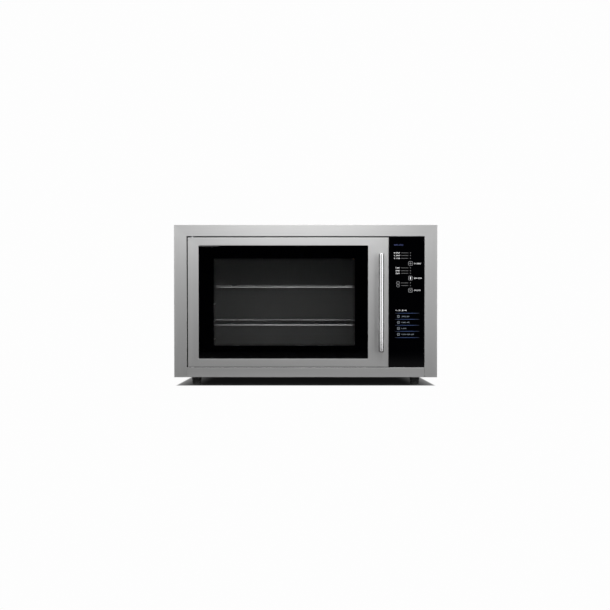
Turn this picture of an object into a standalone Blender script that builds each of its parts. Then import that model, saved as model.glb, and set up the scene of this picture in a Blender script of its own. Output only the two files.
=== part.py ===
# Countertop electric oven with a side-hung door.
# Metres, +Z up. X runs along the front, the front faces -Y, and the origin is on the
# floor under the middle of the whole object, handle and mains gland included.
import math

import bmesh
import bpy
from mathutils import Matrix, Vector

# Driving dimensions: the cabinet.
BODY_W = 0.590
BODY_D = 0.440
BODY_H = 0.342
FOOT_H = 0.018
SHEET = 0.001
STILE_W = 0.0285
TOP_RAIL_H = 0.026
BOTTOM_RAIL_H = 0.022
JAMB_D = 0.028
PAN_FLANGE_H = 0.014
COVER_FLANGE_D = 0.012

# Running gaps: between pieces that touch, past the end of a cut, and at a pin.
FIT = 0.0003
OVERRUN = 0.002
PIN_PLAY = 0.0003

# The door, hung on the left, takes the width that the control panel leaves.
DOOR_SIDE_GAP = 0.0024
DOOR_TOP_GAP = 0.0024
DOOR_BOTTOM_GAP = 0.0015
DOOR_SHELL_D = 0.020
DOOR_T = 0.024
DOOR_STILE_LEFT_W = 0.024
DOOR_STILE_RIGHT_W = 0.0455
DOOR_RAIL_H = 0.018
DOOR_LIP_D = 0.002
LINER_FLANGE_D = 0.007
GLASS_T = 0.004
GLASS_OVERLAP = 0.004
GLASS_CORNER_R = 0.0025
BORDER_LEFT_W = 0.0335
BORDER_W = 0.029
LINER_SHADOW = 0.003
INNER_GLASS_OVERLAP = 0.008
SEAL_W = 0.008
SEAL_LAP = 0.002

# The handle.
HANDLE_REACH = 0.038
HANDLE_L = 0.220
HANDLE_D = 0.012
HANDLE_CHAMFER = 0.001
HANDLE_INSET = 0.0175
POST_SPACING = 0.128
POST_D = 0.009
SCREW_D = 0.004
SCREW_HEAD_D = 0.008
SCREW_HEAD_T = 0.0025
SCREW_REACH = 0.012

# The hinges.
PIVOT_INSET = 0.010
PIVOT_DEPTH = 0.006
PIN_D = 0.006
PIN_HEAD_D = 0.010
PIN_HEAD_T = 0.002
PIN_IN_DOOR = 0.011
BUSH_H = 0.012
BUSH_BACK_D = 0.0095
BRACKET_W = 0.030
BRACKET_T = 0.0025
BRACKET_LEG_H = 0.012

# The magnetic catch and the door switch.
MAGNET_W = 0.012
MAGNET_H = 0.040
MAGNET_D = 0.014
MAGNET_FLANGE = 0.004
MAGNET_FLANGE_T = 0.002
KEEPER_T = 0.0012
CATCH_INSET = 0.011
SWITCH_DROP = 0.110
SWITCH_W = 0.012
SWITCH_H = 0.020
SWITCH_D = 0.016
PLUNGER_D = 0.004
PLUNGER_TIP_SHARE = 0.6
PLUNGER_IN_BODY = 0.009

# The control panel.
PANEL_W = 0.0798
PANEL_GAP = 0.001
CARRIER_WALL = 0.002
CARRIER_BACK_T = 0.002
BOARD_T = 0.0016
LIGHT_BOX_D = 0.006
LIGHT_BOX_W = 0.050
LIGHT_BOX_H = 0.030
LIGHT_BOX_DROP = 0.028
CONNECTOR_W = 0.020
CONNECTOR_H = 0.010
CONNECTOR_D = 0.007
BAY_HOLE_EDGE = 0.012

# The cavity, by what it leaves to the cabinet and to the door's right edge.
CAVITY_LEFT_SPACE = 0.061
CAVITY_RIGHT_SPACE = 0.0294
CAVITY_BACK_SPACE = 0.0804
CAVITY_FLOOR_SPACE = 0.038
CAVITY_ROOF_SPACE = 0.052
CAVITY_SHEET = 0.001
INSULATION_T = 0.014
SHIELD_SPACE = 0.026
SHIELD_BACK_SPACE = 0.010

# Racks, guides and tray.
RACK_FRONT_D = 0.040
RACK_BACK_GAP = 0.0196
RACK_ROD_D = 0.005
RACK_WIRE_D = 0.0032
END_WIRE_INSET = 0.01005
RACK_WIRES = 8
RACK_SIDE_PLAY = 0.0016
RACK_CORNER_R = 0.012
RACK_SINK = 0.0008
FIRST_LEVEL_RISE = 0.035
TOP_LEVEL_DROP = 0.088
GUIDE_LEVELS = 4
LOWER_RACK_LEVEL = 1
GUIDE_T = 0.001
LEDGE_W = 0.009
LEDGE_T = 0.0015
GUIDE_MARGIN = 0.012
GUIDE_RISE = 0.008
TRAY_H = 0.005
TRAY_T = 0.0008
TRAY_SIDE_PLAY = 0.004
TRAY_FRONT_D = 0.037
TRAY_BACK_GAP = 0.0106

# Heating elements.
ELEMENT_D = 0.0065
ELEMENT_ROOF_DROP = 0.013
ELEMENT_FLOOR_RISE = 0.0105
ELEMENT_FRONT_D = 0.100
ELEMENT_BACK_GAP = 0.0696
ELEMENT_BEND_R = 0.022
ELEMENT_SIDE_GAP = 0.026
ELEMENT_TAIL = 0.012
TAB_T = 0.0015
TAB_H = 0.012
TAB_SHARE = 0.5

# Lamp, probe and cutout on the right-hand cavity wall.
LAMP_D = 0.036
LAMP_L = 0.046
LAMP_WALL = 0.002
LAMP_FLANGE_D = 0.046
LAMP_BACK_GAP = 0.0596
LAMP_DROP = 0.044
LENS_D = 0.042
LENS_RISE = 0.008
LENS_RIM = 0.002
BULB_D = 0.022
BULB_CAP_D = 0.013
BULB_L = 0.034
PROBE_D = 0.004
PROBE_REACH = 0.045
PROBE_NUT_D = 0.010
PROBE_NUT_T = 0.004
PROBE_BACK_GAP = 0.1446
PROBE_DROP = 0.022
CUTOUT_D = 0.016
CUTOUT_T = 0.009
CUTOUT_PLATE_W = 0.024
CUTOUT_PLATE_T = 0.001
CUTOUT_BACK_GAP = 0.1896
CUTOUT_DROP = 0.102

# Cooling fan on the back cover.
FAN_SIZE = 0.060
FAN_T = 0.020
FAN_BORE_D = 0.056
FAN_HUB_D = 0.024
FAN_RISE = 0.230
FAN_TIP_GAP = 0.0012
FAN_BLADES = 7
BLADE_T = 0.0016
BLADE_CHORD = 0.014
BLADE_PITCH_DEG = 38.0
FAN_ARM_W = 0.004
FAN_ARM_T = 0.003

# Electronics in the bay, and the mains entry.
POWER_BOARD_D = 0.150
POWER_BOARD_H = 0.100
POWER_BOARD_RISE = 0.045
STANDOFF_H = 0.006
STANDOFF_D = 0.006
RELAY_W = 0.012
RELAY_D = 0.028
RELAY_H = 0.016
TRANSFORMER_D = 0.040
TRANSFORMER_H = 0.034
TRANSFORMER_W = 0.030
TERMINAL_W = 0.045
TERMINAL_H = 0.022
TERMINAL_D = 0.018
TERMINAL_FORWARD = 0.055
TERMINAL_GROOVE = 0.003
GLAND_FLANGE_D = 0.022
GLAND_FLANGE_T = 0.003
GLAND_BODY_D = 0.016
GLAND_BORE_D = 0.009
GLAND_IN = 0.010
GLAND_RISE = 0.080

# Vent slots.
SLOT_H = 0.003
SLOT_W = 0.040
SLOT_PITCH = 0.009
BAY_SLOTS = 8
SIDE_SLOTS = 6
SIDE_SLOT_RISE = 0.060
SIDE_SLOT_BACK = 0.110
PAN_SLOTS = 7

# Feet.
FOOT_D = 0.0207
FOOT_TOP_D = 0.0225
FOOT_SOLE_D = 0.0190
FOOT_SOLE_H = 0.0075
FOOT_GROOVE_D = 0.0175
FOOT_GROOVE_H = 0.0010
FOOT_STUD_D = 0.008
FOOT_STUD_H = 0.006
FOOT_SIDE_INSET = 0.048
FOOT_FRONT_INSET = 0.036
FOOT_BACK_INSET = 0.040

# Sides of the round pieces.
FINE = 32
ROUND = 24
COARSE = 12

# Planes worked out from the sizes above.
OVERALL_D = HANDLE_REACH + BODY_D + GLAND_FLANGE_T
FRONT_Y = HANDLE_REACH - OVERALL_D / 2
BACK_Y = FRONT_Y + BODY_D
LEFT_X = -BODY_W / 2
RIGHT_X = BODY_W / 2
BASE_Z = FOOT_H
TOP_Z = FOOT_H + BODY_H
OPEN_LEFT = LEFT_X + STILE_W
OPEN_RIGHT = RIGHT_X - STILE_W
OPEN_BOTTOM = BASE_Z + BOTTOM_RAIL_H
OPEN_TOP = TOP_Z - TOP_RAIL_H

PANEL_RIGHT = OPEN_RIGHT - FIT
PANEL_LEFT = PANEL_RIGHT - PANEL_W
PANEL_BOTTOM = OPEN_BOTTOM + FIT
PANEL_TOP = OPEN_TOP - FIT

DOOR_LEFT = OPEN_LEFT + DOOR_SIDE_GAP
DOOR_RIGHT = PANEL_LEFT - PANEL_GAP
DOOR_BOTTOM = OPEN_BOTTOM + DOOR_BOTTOM_GAP
DOOR_TOP = OPEN_TOP - DOOR_TOP_GAP
DOOR_MIDDLE_Z = (DOOR_BOTTOM + DOOR_TOP) / 2
PIVOT_X = DOOR_LEFT + PIVOT_INSET
PIVOT_Y = FRONT_Y + PIVOT_DEPTH

PANE_LEFT = DOOR_LEFT + DOOR_STILE_LEFT_W
PANE_RIGHT = DOOR_RIGHT - DOOR_STILE_RIGHT_W
PANE_BOTTOM = DOOR_BOTTOM + DOOR_RAIL_H
PANE_TOP = DOOR_TOP - DOOR_RAIL_H
WINDOW_LEFT = PANE_LEFT + BORDER_LEFT_W - LINER_SHADOW
WINDOW_RIGHT = PANE_RIGHT - BORDER_W + LINER_SHADOW
WINDOW_BOTTOM = PANE_BOTTOM + BORDER_W - LINER_SHADOW
WINDOW_TOP = PANE_TOP - BORDER_W + LINER_SHADOW

PLATE_Y = FRONT_Y + JAMB_D + FIT
CAVITY_LEFT = LEFT_X + CAVITY_LEFT_SPACE
CAVITY_RIGHT = DOOR_RIGHT - CAVITY_RIGHT_SPACE
CAVITY_MIDDLE_X = (CAVITY_LEFT + CAVITY_RIGHT) / 2
CAVITY_FLOOR_Z = BASE_Z + CAVITY_FLOOR_SPACE
CAVITY_ROOF_Z = TOP_Z - CAVITY_ROOF_SPACE
CAVITY_FRONT_Y = PLATE_Y + SHEET + FIT
CAVITY_BACK_Y = BACK_Y - CAVITY_BACK_SPACE
FIRST_LEVEL_Z = CAVITY_FLOOR_Z + FIRST_LEVEL_RISE
LEVEL_PITCH = (CAVITY_ROOF_Z - TOP_LEVEL_DROP - FIRST_LEVEL_Z) / (GUIDE_LEVELS - 1)
SHIELD_X = CAVITY_RIGHT + CAVITY_SHEET + SHIELD_SPACE
BAY_MIDDLE_X = (SHIELD_X + RIGHT_X) / 2
HANDLE_X = DOOR_RIGHT - HANDLE_INSET
HANDLE_Y = FRONT_Y - HANDLE_REACH + HANDLE_D / 2
CATCH_X = DOOR_RIGHT - CATCH_INSET
SWITCH_Z = DOOR_MIDDLE_Z - SWITCH_DROP


def clear_scene():
    for old in list(bpy.data.objects):
        bpy.data.objects.remove(old, do_unlink=True)


def make_material(name, colour, roughness, metallic=0.0, transmission=0.0):
    material = bpy.data.materials.new(name)
    material.use_nodes = True
    shader = material.node_tree.nodes["Principled BSDF"]
    shader.inputs["Base Color"].default_value = (*colour, 1.0)
    shader.inputs["Roughness"].default_value = roughness
    shader.inputs["Metallic"].default_value = metallic
    shader.inputs["Transmission Weight"].default_value = transmission
    material.diffuse_color = (*colour, 1.0)
    return material


def add_object(name, mesh, centre=(0.0, 0.0, 0.0)):
    item = bpy.data.objects.new(name, mesh)
    item.location = centre
    bpy.context.scene.collection.objects.link(item)
    return item


def block(name, x, y, z):
    """A plain block between two planes each way. Blocks that share a plane share its exact value."""
    shape = bmesh.new()
    bmesh.ops.create_cube(shape, size=1.0)
    for corner in shape.verts:
        corner.co = [pair[along > 0.0] for pair, along in zip((x, y, z), corner.co)]
    mesh = bpy.data.meshes.new(name)
    shape.to_mesh(mesh)
    shape.free()
    return add_object(name, mesh)


AXIS_TURN = {
    "x": Matrix.Rotation(math.pi / 2, 4, "Y"),
    "y": Matrix.Rotation(-math.pi / 2, 4, "X"),
    "z": Matrix.Identity(4),
}


def rod(name, axis, start, length, diameter, sides=ROUND):
    """A round bar that starts at a point and runs along an axis."""
    shape = bmesh.new()
    middle = Matrix.Translation((0.0, 0.0, length / 2))
    bmesh.ops.create_cone(shape, cap_ends=True, segments=sides, radius1=diameter / 2,
                          radius2=diameter / 2, depth=length, matrix=AXIS_TURN[axis] @ middle)
    mesh = bpy.data.meshes.new(name)
    shape.to_mesh(mesh)
    shape.free()
    return smooth(add_object(name, mesh, start))


def turned(name, axis, start, profile, sides=ROUND):
    """A solid of revolution: (radius, place along the axis) pairs, closed at both ends."""
    shape = bmesh.new()
    rings = []
    for radius, along in profile:
        if radius == 0.0:
            rings.append([shape.verts.new((0.0, 0.0, along))])
            continue
        ring = []
        for step in range(sides):
            turn = 2 * math.pi * step / sides
            ring.append(shape.verts.new((radius * math.cos(turn), radius * math.sin(turn), along)))
        rings.append(ring)
    for low, high in zip(rings, rings[1:]):
        join_rings(shape, low, high, sides)
    if len(rings[0]) > 1:
        shape.faces.new(list(reversed(rings[0])))
    if len(rings[-1]) > 1:
        shape.faces.new(rings[-1])
    bmesh.ops.recalc_face_normals(shape, faces=shape.faces)
    bmesh.ops.transform(shape, matrix=AXIS_TURN[axis], verts=shape.verts)
    mesh = bpy.data.meshes.new(name)
    shape.to_mesh(mesh)
    shape.free()
    return smooth(add_object(name, mesh, start))


def join_rings(shape, low, high, sides):
    for step in range(sides):
        after = (step + 1) % sides
        if len(low) == 1:
            shape.faces.new((low[0], high[after], high[step]))
        elif len(high) == 1:
            shape.faces.new((low[step], low[after], high[0]))
        else:
            shape.faces.new((low[step], low[after], high[after], high[step]))


def smooth(item):
    item.data.shade_smooth()
    item.data.set_sharp_from_angle(angle=math.radians(40.0))
    return item


def combine(base, tools, operation):
    """Fuse or cut a piece with other shapes, which are then removed."""
    for tool in tools:
        step = base.modifiers.new("combine", "BOOLEAN")
        step.operation = operation
        step.solver = "EXACT"
        step.object = tool
        bpy.context.view_layer.update()
        graph = bpy.context.evaluated_depsgraph_get()
        mesh = bpy.data.meshes.new_from_object(base.evaluated_get(graph))
        base.modifiers.clear()
        base.data = mesh
        bpy.data.objects.remove(tool, do_unlink=True)
    return base


def fuse(base, *tools):
    return combine(base, tools, "UNION")


def cut(base, *tools):
    return combine(base, tools, "DIFFERENCE")


def slots(name, axis, x, y, z, count, pitch):
    """A cutter of equal blocks in a row along one axis."""
    row = block(name, x, y, z)
    shape = bmesh.new()
    for step in range(count):
        offset = Vector((0.0, 0.0, 0.0))
        offset["xyz".index(axis)] = step * pitch
        copy = bmesh.new()
        copy.from_mesh(row.data)
        bmesh.ops.translate(copy, vec=offset, verts=copy.verts)
        part = bpy.data.meshes.new(name)
        copy.to_mesh(part)
        copy.free()
        shape.from_mesh(part)
    mesh = bpy.data.meshes.new(name)
    shape.to_mesh(mesh)
    shape.free()
    row.data = mesh
    return row


def drill(name, axis, middle, length, diameter, sides=ROUND):
    """A round cutter centred on a point."""
    start = Vector(middle)
    start["xyz".index(axis)] -= length / 2
    return rod(name, axis, start, length, diameter, sides)


def depth(front, back):
    """The pair of Y planes at two depths behind the front plane."""
    return FRONT_Y + front, FRONT_Y + back


def finish(item, material, parent=None):
    item.data.materials.clear()
    item.data.materials.append(material)
    if parent is not None:
        item.parent = parent
        item.matrix_parent_inverse = Matrix.Translation(-parent.location)
    return item


def joint_empty(name, place):
    empty = bpy.data.objects.new(name, None)
    empty.location = place
    bpy.context.scene.collection.objects.link(empty)
    return empty


def outer_wrap():
    """Top and both sides, with the front frame and the returns that line its opening."""
    wrap = block("outer_wrap", (LEFT_X, RIGHT_X), (FRONT_Y, BACK_Y), (BASE_Z, TOP_Z))
    inside = block("inside", (LEFT_X + SHEET, RIGHT_X - SHEET), (FRONT_Y + SHEET, BACK_Y + OVERRUN),
                   (BASE_Z - OVERRUN, TOP_Z - SHEET))
    opening = block("opening", (OPEN_LEFT, OPEN_RIGHT), (FRONT_Y - OVERRUN, FRONT_Y + JAMB_D),
                    (BASE_Z - OVERRUN, OPEN_TOP))
    cut(wrap, inside, opening)
    jamb_z = BASE_Z + SHEET + FIT
    jamb = block("jamb", (OPEN_LEFT - SHEET, OPEN_RIGHT + SHEET), depth(SHEET / 2, JAMB_D),
                 (jamb_z, OPEN_TOP + SHEET))
    jamb_hole = block("jamb_hole", (OPEN_LEFT, OPEN_RIGHT), depth(-OVERRUN, JAMB_D + OVERRUN),
                      (jamb_z - OVERRUN, OPEN_TOP))
    cut(jamb, jamb_hole)
    fuse(wrap, jamb)
    slot_z = BASE_Z + SIDE_SLOT_RISE
    slot_y = (BACK_Y - SIDE_SLOT_BACK, BACK_Y - SIDE_SLOT_BACK + SLOT_W)
    for side_x in (LEFT_X, RIGHT_X):
        cut(wrap, slots("side_slots", "z", (side_x - OVERRUN, side_x + OVERRUN), slot_y,
                        (slot_z, slot_z + SLOT_H), SIDE_SLOTS, SLOT_PITCH))
    cut(wrap, drill("pin_hole", "z", (PIVOT_X, PIVOT_Y, OPEN_TOP), 2 * OVERRUN, PIN_D + 2 * PIN_PLAY))
    return wrap


def foot_places():
    front = FRONT_Y + FOOT_FRONT_INSET
    back = BACK_Y - FOOT_BACK_INSET
    left = LEFT_X + FOOT_SIDE_INSET
    right = RIGHT_X - FOOT_SIDE_INSET
    return {"front_left": (left, front), "front_right": (right, front),
            "rear_left": (left, back), "rear_right": (right, back)}


def base_pan():
    """The bottom sheet, its upturned sides, and the bottom rail with its sill."""
    side = SHEET + FIT
    x = (LEFT_X + side, RIGHT_X - side)
    y = (FRONT_Y + side, BACK_Y - side)
    pan = block("base_pan", x, y, (BASE_Z, BASE_Z + PAN_FLANGE_H))
    hollow = block("hollow", (x[0] + SHEET, x[1] - SHEET), (y[0] - OVERRUN, y[1] + OVERRUN),
                   (BASE_Z + SHEET, TOP_Z))
    front_clear = block("front_clear", (LEFT_X - OVERRUN, RIGHT_X + OVERRUN),
                        (FRONT_Y - OVERRUN, PLATE_Y + side), (BASE_Z + SHEET, TOP_Z))
    cut(pan, hollow, front_clear)
    rail_x = (LEFT_X + STILE_W + FIT, RIGHT_X - STILE_W - FIT)
    rail = block("rail", rail_x, depth(0.0, SHEET), (BASE_Z, OPEN_BOTTOM))
    sill = block("sill", rail_x, depth(0.0, JAMB_D), (OPEN_BOTTOM - SHEET, OPEN_BOTTOM))
    toe = block("toe", rail_x, depth(0.0, STILE_W), (BASE_Z, BASE_Z + SHEET))
    fuse(pan, rail, sill, toe)
    holes = [drill("pin_hole", "z", (PIVOT_X, PIVOT_Y, OPEN_BOTTOM), 2 * OVERRUN, PIN_D + 2 * PIN_PLAY)]
    for foot_x, foot_y in foot_places().values():
        holes.append(drill("foot_hole", "z", (foot_x, foot_y, BASE_Z), 2 * OVERRUN,
                           FOOT_STUD_D + 2 * FIT, COARSE))
    slot_y = (FRONT_Y + BODY_D / 2 - SLOT_W / 2, FRONT_Y + BODY_D / 2 + SLOT_W / 2)
    first_x = BAY_MIDDLE_X - SLOT_PITCH * (PAN_SLOTS - 1) / 2
    holes.append(slots("pan_slots", "x", (first_x - SLOT_H / 2, first_x + SLOT_H / 2), slot_y,
                       (BASE_Z - OVERRUN, BASE_Z + OVERRUN), PAN_SLOTS, SLOT_PITCH))
    return cut(pan, *holes)


def back_cover():
    side = SHEET + FIT
    x = (LEFT_X + side, RIGHT_X - side)
    z = (BASE_Z + side, TOP_Z - side)
    inner = 2 * SHEET + FIT
    cover = block("back_cover", (x[0] + inner, x[1] - inner), (BACK_Y - COVER_FLANGE_D, BACK_Y), z)
    hollow = block("hollow", (x[0] + inner + SHEET, x[1] - inner - SHEET),
                   (BACK_Y - COVER_FLANGE_D - OVERRUN, BACK_Y - SHEET), (z[0] + SHEET, z[1] - SHEET))
    rim = block("rim", x, (BACK_Y - SHEET, BACK_Y), z)
    cut(cover, hollow)
    fuse(cover, rim)
    fan_z = BASE_Z + FAN_RISE
    slot_x = (BAY_MIDDLE_X - SLOT_W / 2, BAY_MIDDLE_X + SLOT_W / 2)
    first_z = fan_z - SLOT_PITCH * (BAY_SLOTS - 1) / 2
    y = (BACK_Y - SHEET - OVERRUN, BACK_Y + OVERRUN)
    holes = [slots("fan_slots", "z", slot_x, y, (first_z - SLOT_H / 2, first_z + SLOT_H / 2),
                   BAY_SLOTS, SLOT_PITCH)]
    far_x = (CAVITY_LEFT, CAVITY_LEFT + SLOT_W)
    holes.append(slots("far_slots", "z", far_x, y, (first_z - SLOT_H / 2, first_z + SLOT_H / 2),
                       BAY_SLOTS, SLOT_PITCH))
    gland_z = BASE_Z + GLAND_RISE
    holes.append(drill("gland_hole", "y", (BAY_MIDDLE_X, BACK_Y, gland_z), 4 * OVERRUN,
                       GLAND_BODY_D + 2 * FIT))
    return cut(cover, *holes)


def front_plate():
    """The sheet behind the door and the panel, open at the cavity mouth and the bay."""
    side = 2 * SHEET + 2 * FIT
    y = (PLATE_Y, PLATE_Y + SHEET)
    through = (PLATE_Y - OVERRUN, PLATE_Y + SHEET + OVERRUN)
    plate = block("front_plate", (LEFT_X + side, RIGHT_X - side), y, (BASE_Z + side, TOP_Z - side))
    mouth = block("mouth", (CAVITY_LEFT, CAVITY_RIGHT), through, (CAVITY_FLOOR_Z, CAVITY_ROOF_Z))
    bay = block("bay", (PANEL_LEFT + BAY_HOLE_EDGE, PANEL_RIGHT - BAY_HOLE_EDGE), through,
                (PANEL_BOTTOM + BAY_HOLE_EDGE, PANEL_TOP - BAY_HOLE_EDGE))
    magnet = block("magnet_hole", (CATCH_X - MAGNET_W / 2 - FIT, CATCH_X + MAGNET_W / 2 + FIT), through,
                   (DOOR_MIDDLE_Z - MAGNET_H / 2 - FIT, DOOR_MIDDLE_Z + MAGNET_H / 2 + FIT))
    switch = drill("switch_hole", "y", (CATCH_X, PLATE_Y, SWITCH_Z), 4 * OVERRUN,
                   PLUNGER_D + 2 * PIN_PLAY, COARSE)
    return cut(plate, mouth, bay, magnet, switch)


def cavity_pieces():
    t = CAVITY_SHEET
    wide = (CAVITY_LEFT - t, CAVITY_RIGHT + t)
    y = (CAVITY_FRONT_Y, CAVITY_BACK_Y)
    z = (CAVITY_FLOOR_Z + FIT, CAVITY_ROOF_Z - FIT)
    floor = block("cavity_floor", wide, y, (CAVITY_FLOOR_Z - t, CAVITY_FLOOR_Z))
    roof = block("cavity_roof", wide, y, (CAVITY_ROOF_Z, CAVITY_ROOF_Z + t))
    left = block("cavity_left_wall", (CAVITY_LEFT - t, CAVITY_LEFT), y, z)
    right = block("cavity_right_wall", (CAVITY_RIGHT, CAVITY_RIGHT + t), y, z)
    back = block("cavity_back_wall", wide, (CAVITY_BACK_Y + FIT, CAVITY_BACK_Y + FIT + t),
                 (CAVITY_FLOOR_Z - t, CAVITY_ROOF_Z + t))
    cut(right, *wall_holes(CAVITY_RIGHT + t / 2))
    return [floor, roof, left, right, back]


def element_heights():
    return {"upper": CAVITY_ROOF_Z - ELEMENT_ROOF_DROP, "lower": CAVITY_FLOOR_Z + ELEMENT_FLOOR_RISE}


def element_legs():
    return FRONT_Y + ELEMENT_FRONT_D, CAVITY_BACK_Y - ELEMENT_BACK_GAP


def lamp_place():
    return CAVITY_BACK_Y - LAMP_BACK_GAP, CAVITY_ROOF_Z - LAMP_DROP


def probe_place():
    return CAVITY_BACK_Y - PROBE_BACK_GAP, CAVITY_ROOF_Z - PROBE_DROP


def wall_holes(x):
    """Cutters for what passes through an upright sheet beside the cavity."""
    length = 2 * OVERRUN
    holes = []
    for height in element_heights().values():
        for leg in element_legs():
            holes.append(drill("element_hole", "x", (x, leg, height), length, ELEMENT_D + 2 * FIT))
    holes.append(drill("lamp_hole", "x", (x, *lamp_place()), length, LAMP_D + 2 * FIT, FINE))
    holes.append(drill("probe_hole", "x", (x, *probe_place()), length, PROBE_D + 2 * FIT, COARSE))
    return holes


def insulation_wrap():
    """A blanket over the roof and down the left side of the cavity."""
    outside = CAVITY_SHEET + FIT
    left = CAVITY_LEFT - outside
    roof = CAVITY_ROOF_Z + outside
    y = (CAVITY_FRONT_Y, CAVITY_BACK_Y)
    wrap = block("insulation_wrap", (left - INSULATION_T, CAVITY_RIGHT), y,
                 (CAVITY_FLOOR_Z, roof + INSULATION_T))
    space = block("space", (left, CAVITY_RIGHT + OVERRUN), (y[0] - OVERRUN, y[1] + OVERRUN),
                  (CAVITY_FLOOR_Z - OVERRUN, roof))
    return cut(wrap, space)


def insulation_back():
    front = CAVITY_BACK_Y + CAVITY_SHEET + 2 * FIT
    return block("insulation_back", (CAVITY_LEFT, CAVITY_RIGHT), (front, front + INSULATION_T),
                 (CAVITY_FLOOR_Z, CAVITY_ROOF_Z))


def bay_shield():
    """The upright sheet that keeps the cavity's heat off the controls."""
    shield = block("bay_shield", (SHIELD_X, SHIELD_X + SHEET),
                   (CAVITY_FRONT_Y, BACK_Y - SHEET - SHIELD_BACK_SPACE - COVER_FLANGE_D),
                   (BASE_Z + SHEET + FIT, TOP_Z - SHEET - FIT))
    return cut(shield, *wall_holes(SHIELD_X + SHEET / 2))


def level_z(level):
    return FIRST_LEVEL_Z + level * LEVEL_PITCH


def rack_guide(side):
    """A side sheet with one ledge for each rack level."""
    name = "rack_guide_left" if side < 0 else "rack_guide_right"
    wall = CAVITY_LEFT if side < 0 else CAVITY_RIGHT
    y = (CAVITY_FRONT_Y + GUIDE_MARGIN, CAVITY_BACK_Y - GUIDE_MARGIN)
    near = wall - side * FIT
    far = near - side * GUIDE_T
    tip = far - side * LEDGE_W
    ledge_top = -RACK_ROD_D / 2 - FIT
    z = (level_z(0) + ledge_top - GUIDE_RISE, level_z(GUIDE_LEVELS - 1) + GUIDE_RISE)
    guide = block(name, sorted((near, far)), y, z)
    for level in range(GUIDE_LEVELS):
        top = level_z(level) + ledge_top
        fuse(guide, block("ledge", sorted(((near + far) / 2, tip)), y, (top - LEDGE_T, top)))
    return guide


def rack(name, height):
    """A wire rack: a round-cornered rod loop with straight wires laid across it."""
    half = (CAVITY_RIGHT - CAVITY_LEFT - RACK_ROD_D) / 2 - FIT - GUIDE_T - RACK_SIDE_PLAY
    front = FRONT_Y + RACK_FRONT_D
    back = CAVITY_BACK_Y - RACK_BACK_GAP
    middle = Vector((CAVITY_MIDDLE_X, (front + back) / 2, height))
    points = rounded_loop(half, (back - front) / 2, RACK_CORNER_R, 4)
    grid = tube(name, points, RACK_ROD_D, middle, closed=True)
    rise = (RACK_ROD_D + RACK_WIRE_D) / 2 - RACK_SINK
    pitch = 2 * (half - END_WIRE_INSET) / (RACK_WIRES - 1)
    for step in range(RACK_WIRES):
        x = CAVITY_MIDDLE_X + pitch * (step - (RACK_WIRES - 1) / 2)
        start = (x, front - RACK_ROD_D / 2, height + rise)
        fuse(grid, rod("wire", "y", start, back - front + RACK_ROD_D, RACK_WIRE_D, 8))
    return grid


def rounded_loop(half_x, half_y, radius, steps):
    points = []
    corners = ((1, 1), (-1, 1), (-1, -1), (1, -1))
    for turn, (sx, sy) in enumerate(corners):
        for step in range(steps + 1):
            angle = math.pi / 2 * (turn + step / steps)
            points.append((sx * (half_x - radius) + radius * math.cos(angle),
                           sy * (half_y - radius) + radius * math.sin(angle), 0.0))
    return points


def tube(name, points, diameter, place, closed=False):
    """A round bar that follows points, made as a curve and turned into a mesh."""
    curve = bpy.data.curves.new(name, "CURVE")
    curve.dimensions = "3D"
    curve.bevel_depth = diameter / 2
    curve.bevel_resolution = 3
    curve.use_fill_caps = True
    spline = curve.splines.new("POLY")
    spline.points.add(len(points) - 1)
    for target, point in zip(spline.points, points):
        target.co = (*point, 1.0)
    spline.use_cyclic_u = closed
    guide = add_object("guide", curve, place)
    bpy.context.view_layer.update()
    graph = bpy.context.evaluated_depsgraph_get()
    mesh = bpy.data.meshes.new_from_object(guide.evaluated_get(graph))
    bpy.data.objects.remove(guide, do_unlink=True)
    shape = bmesh.new()
    shape.from_mesh(mesh)
    bmesh.ops.remove_doubles(shape, verts=shape.verts, dist=FIT / 100)
    bmesh.ops.recalc_face_normals(shape, faces=shape.faces)
    shape.to_mesh(mesh)
    shape.free()
    return smooth(add_object(name, mesh, place))


def crumb_tray():
    x = (CAVITY_LEFT + TRAY_SIDE_PLAY, CAVITY_RIGHT - TRAY_SIDE_PLAY)
    y = (FRONT_Y + TRAY_FRONT_D, CAVITY_BACK_Y - TRAY_BACK_GAP)
    bottom = CAVITY_FLOOR_Z + FIT
    tray = block("crumb_tray", x, y, (bottom, bottom + TRAY_H))
    hollow = block("hollow", (x[0] + TRAY_T, x[1] - TRAY_T), (y[0] + TRAY_T, y[1] - TRAY_T),
                   (bottom + TRAY_T, bottom + TRAY_H + OVERRUN))
    return cut(tray, hollow)


def heating_element(which):
    """A rod bent into a U, with both tails out through the right-hand wall."""
    height = element_heights()[which]
    legs = element_legs()
    turn_x = CAVITY_LEFT + ELEMENT_SIDE_GAP
    tail_x = SHIELD_X + SHEET + ELEMENT_TAIL
    points = [(tail_x, legs[0], 0.0)]
    for leg, start in ((legs[0] + ELEMENT_BEND_R, 3), (legs[1] - ELEMENT_BEND_R, 2)):
        for step in range(7):
            angle = math.pi / 2 * (start - step / 6)
            points.append((turn_x + ELEMENT_BEND_R + ELEMENT_BEND_R * math.cos(angle),
                           leg + ELEMENT_BEND_R * math.sin(angle), 0.0))
    points.append((tail_x, legs[1], 0.0))
    return tube(which + "_element", points, ELEMENT_D, (0.0, 0.0, height))


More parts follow.
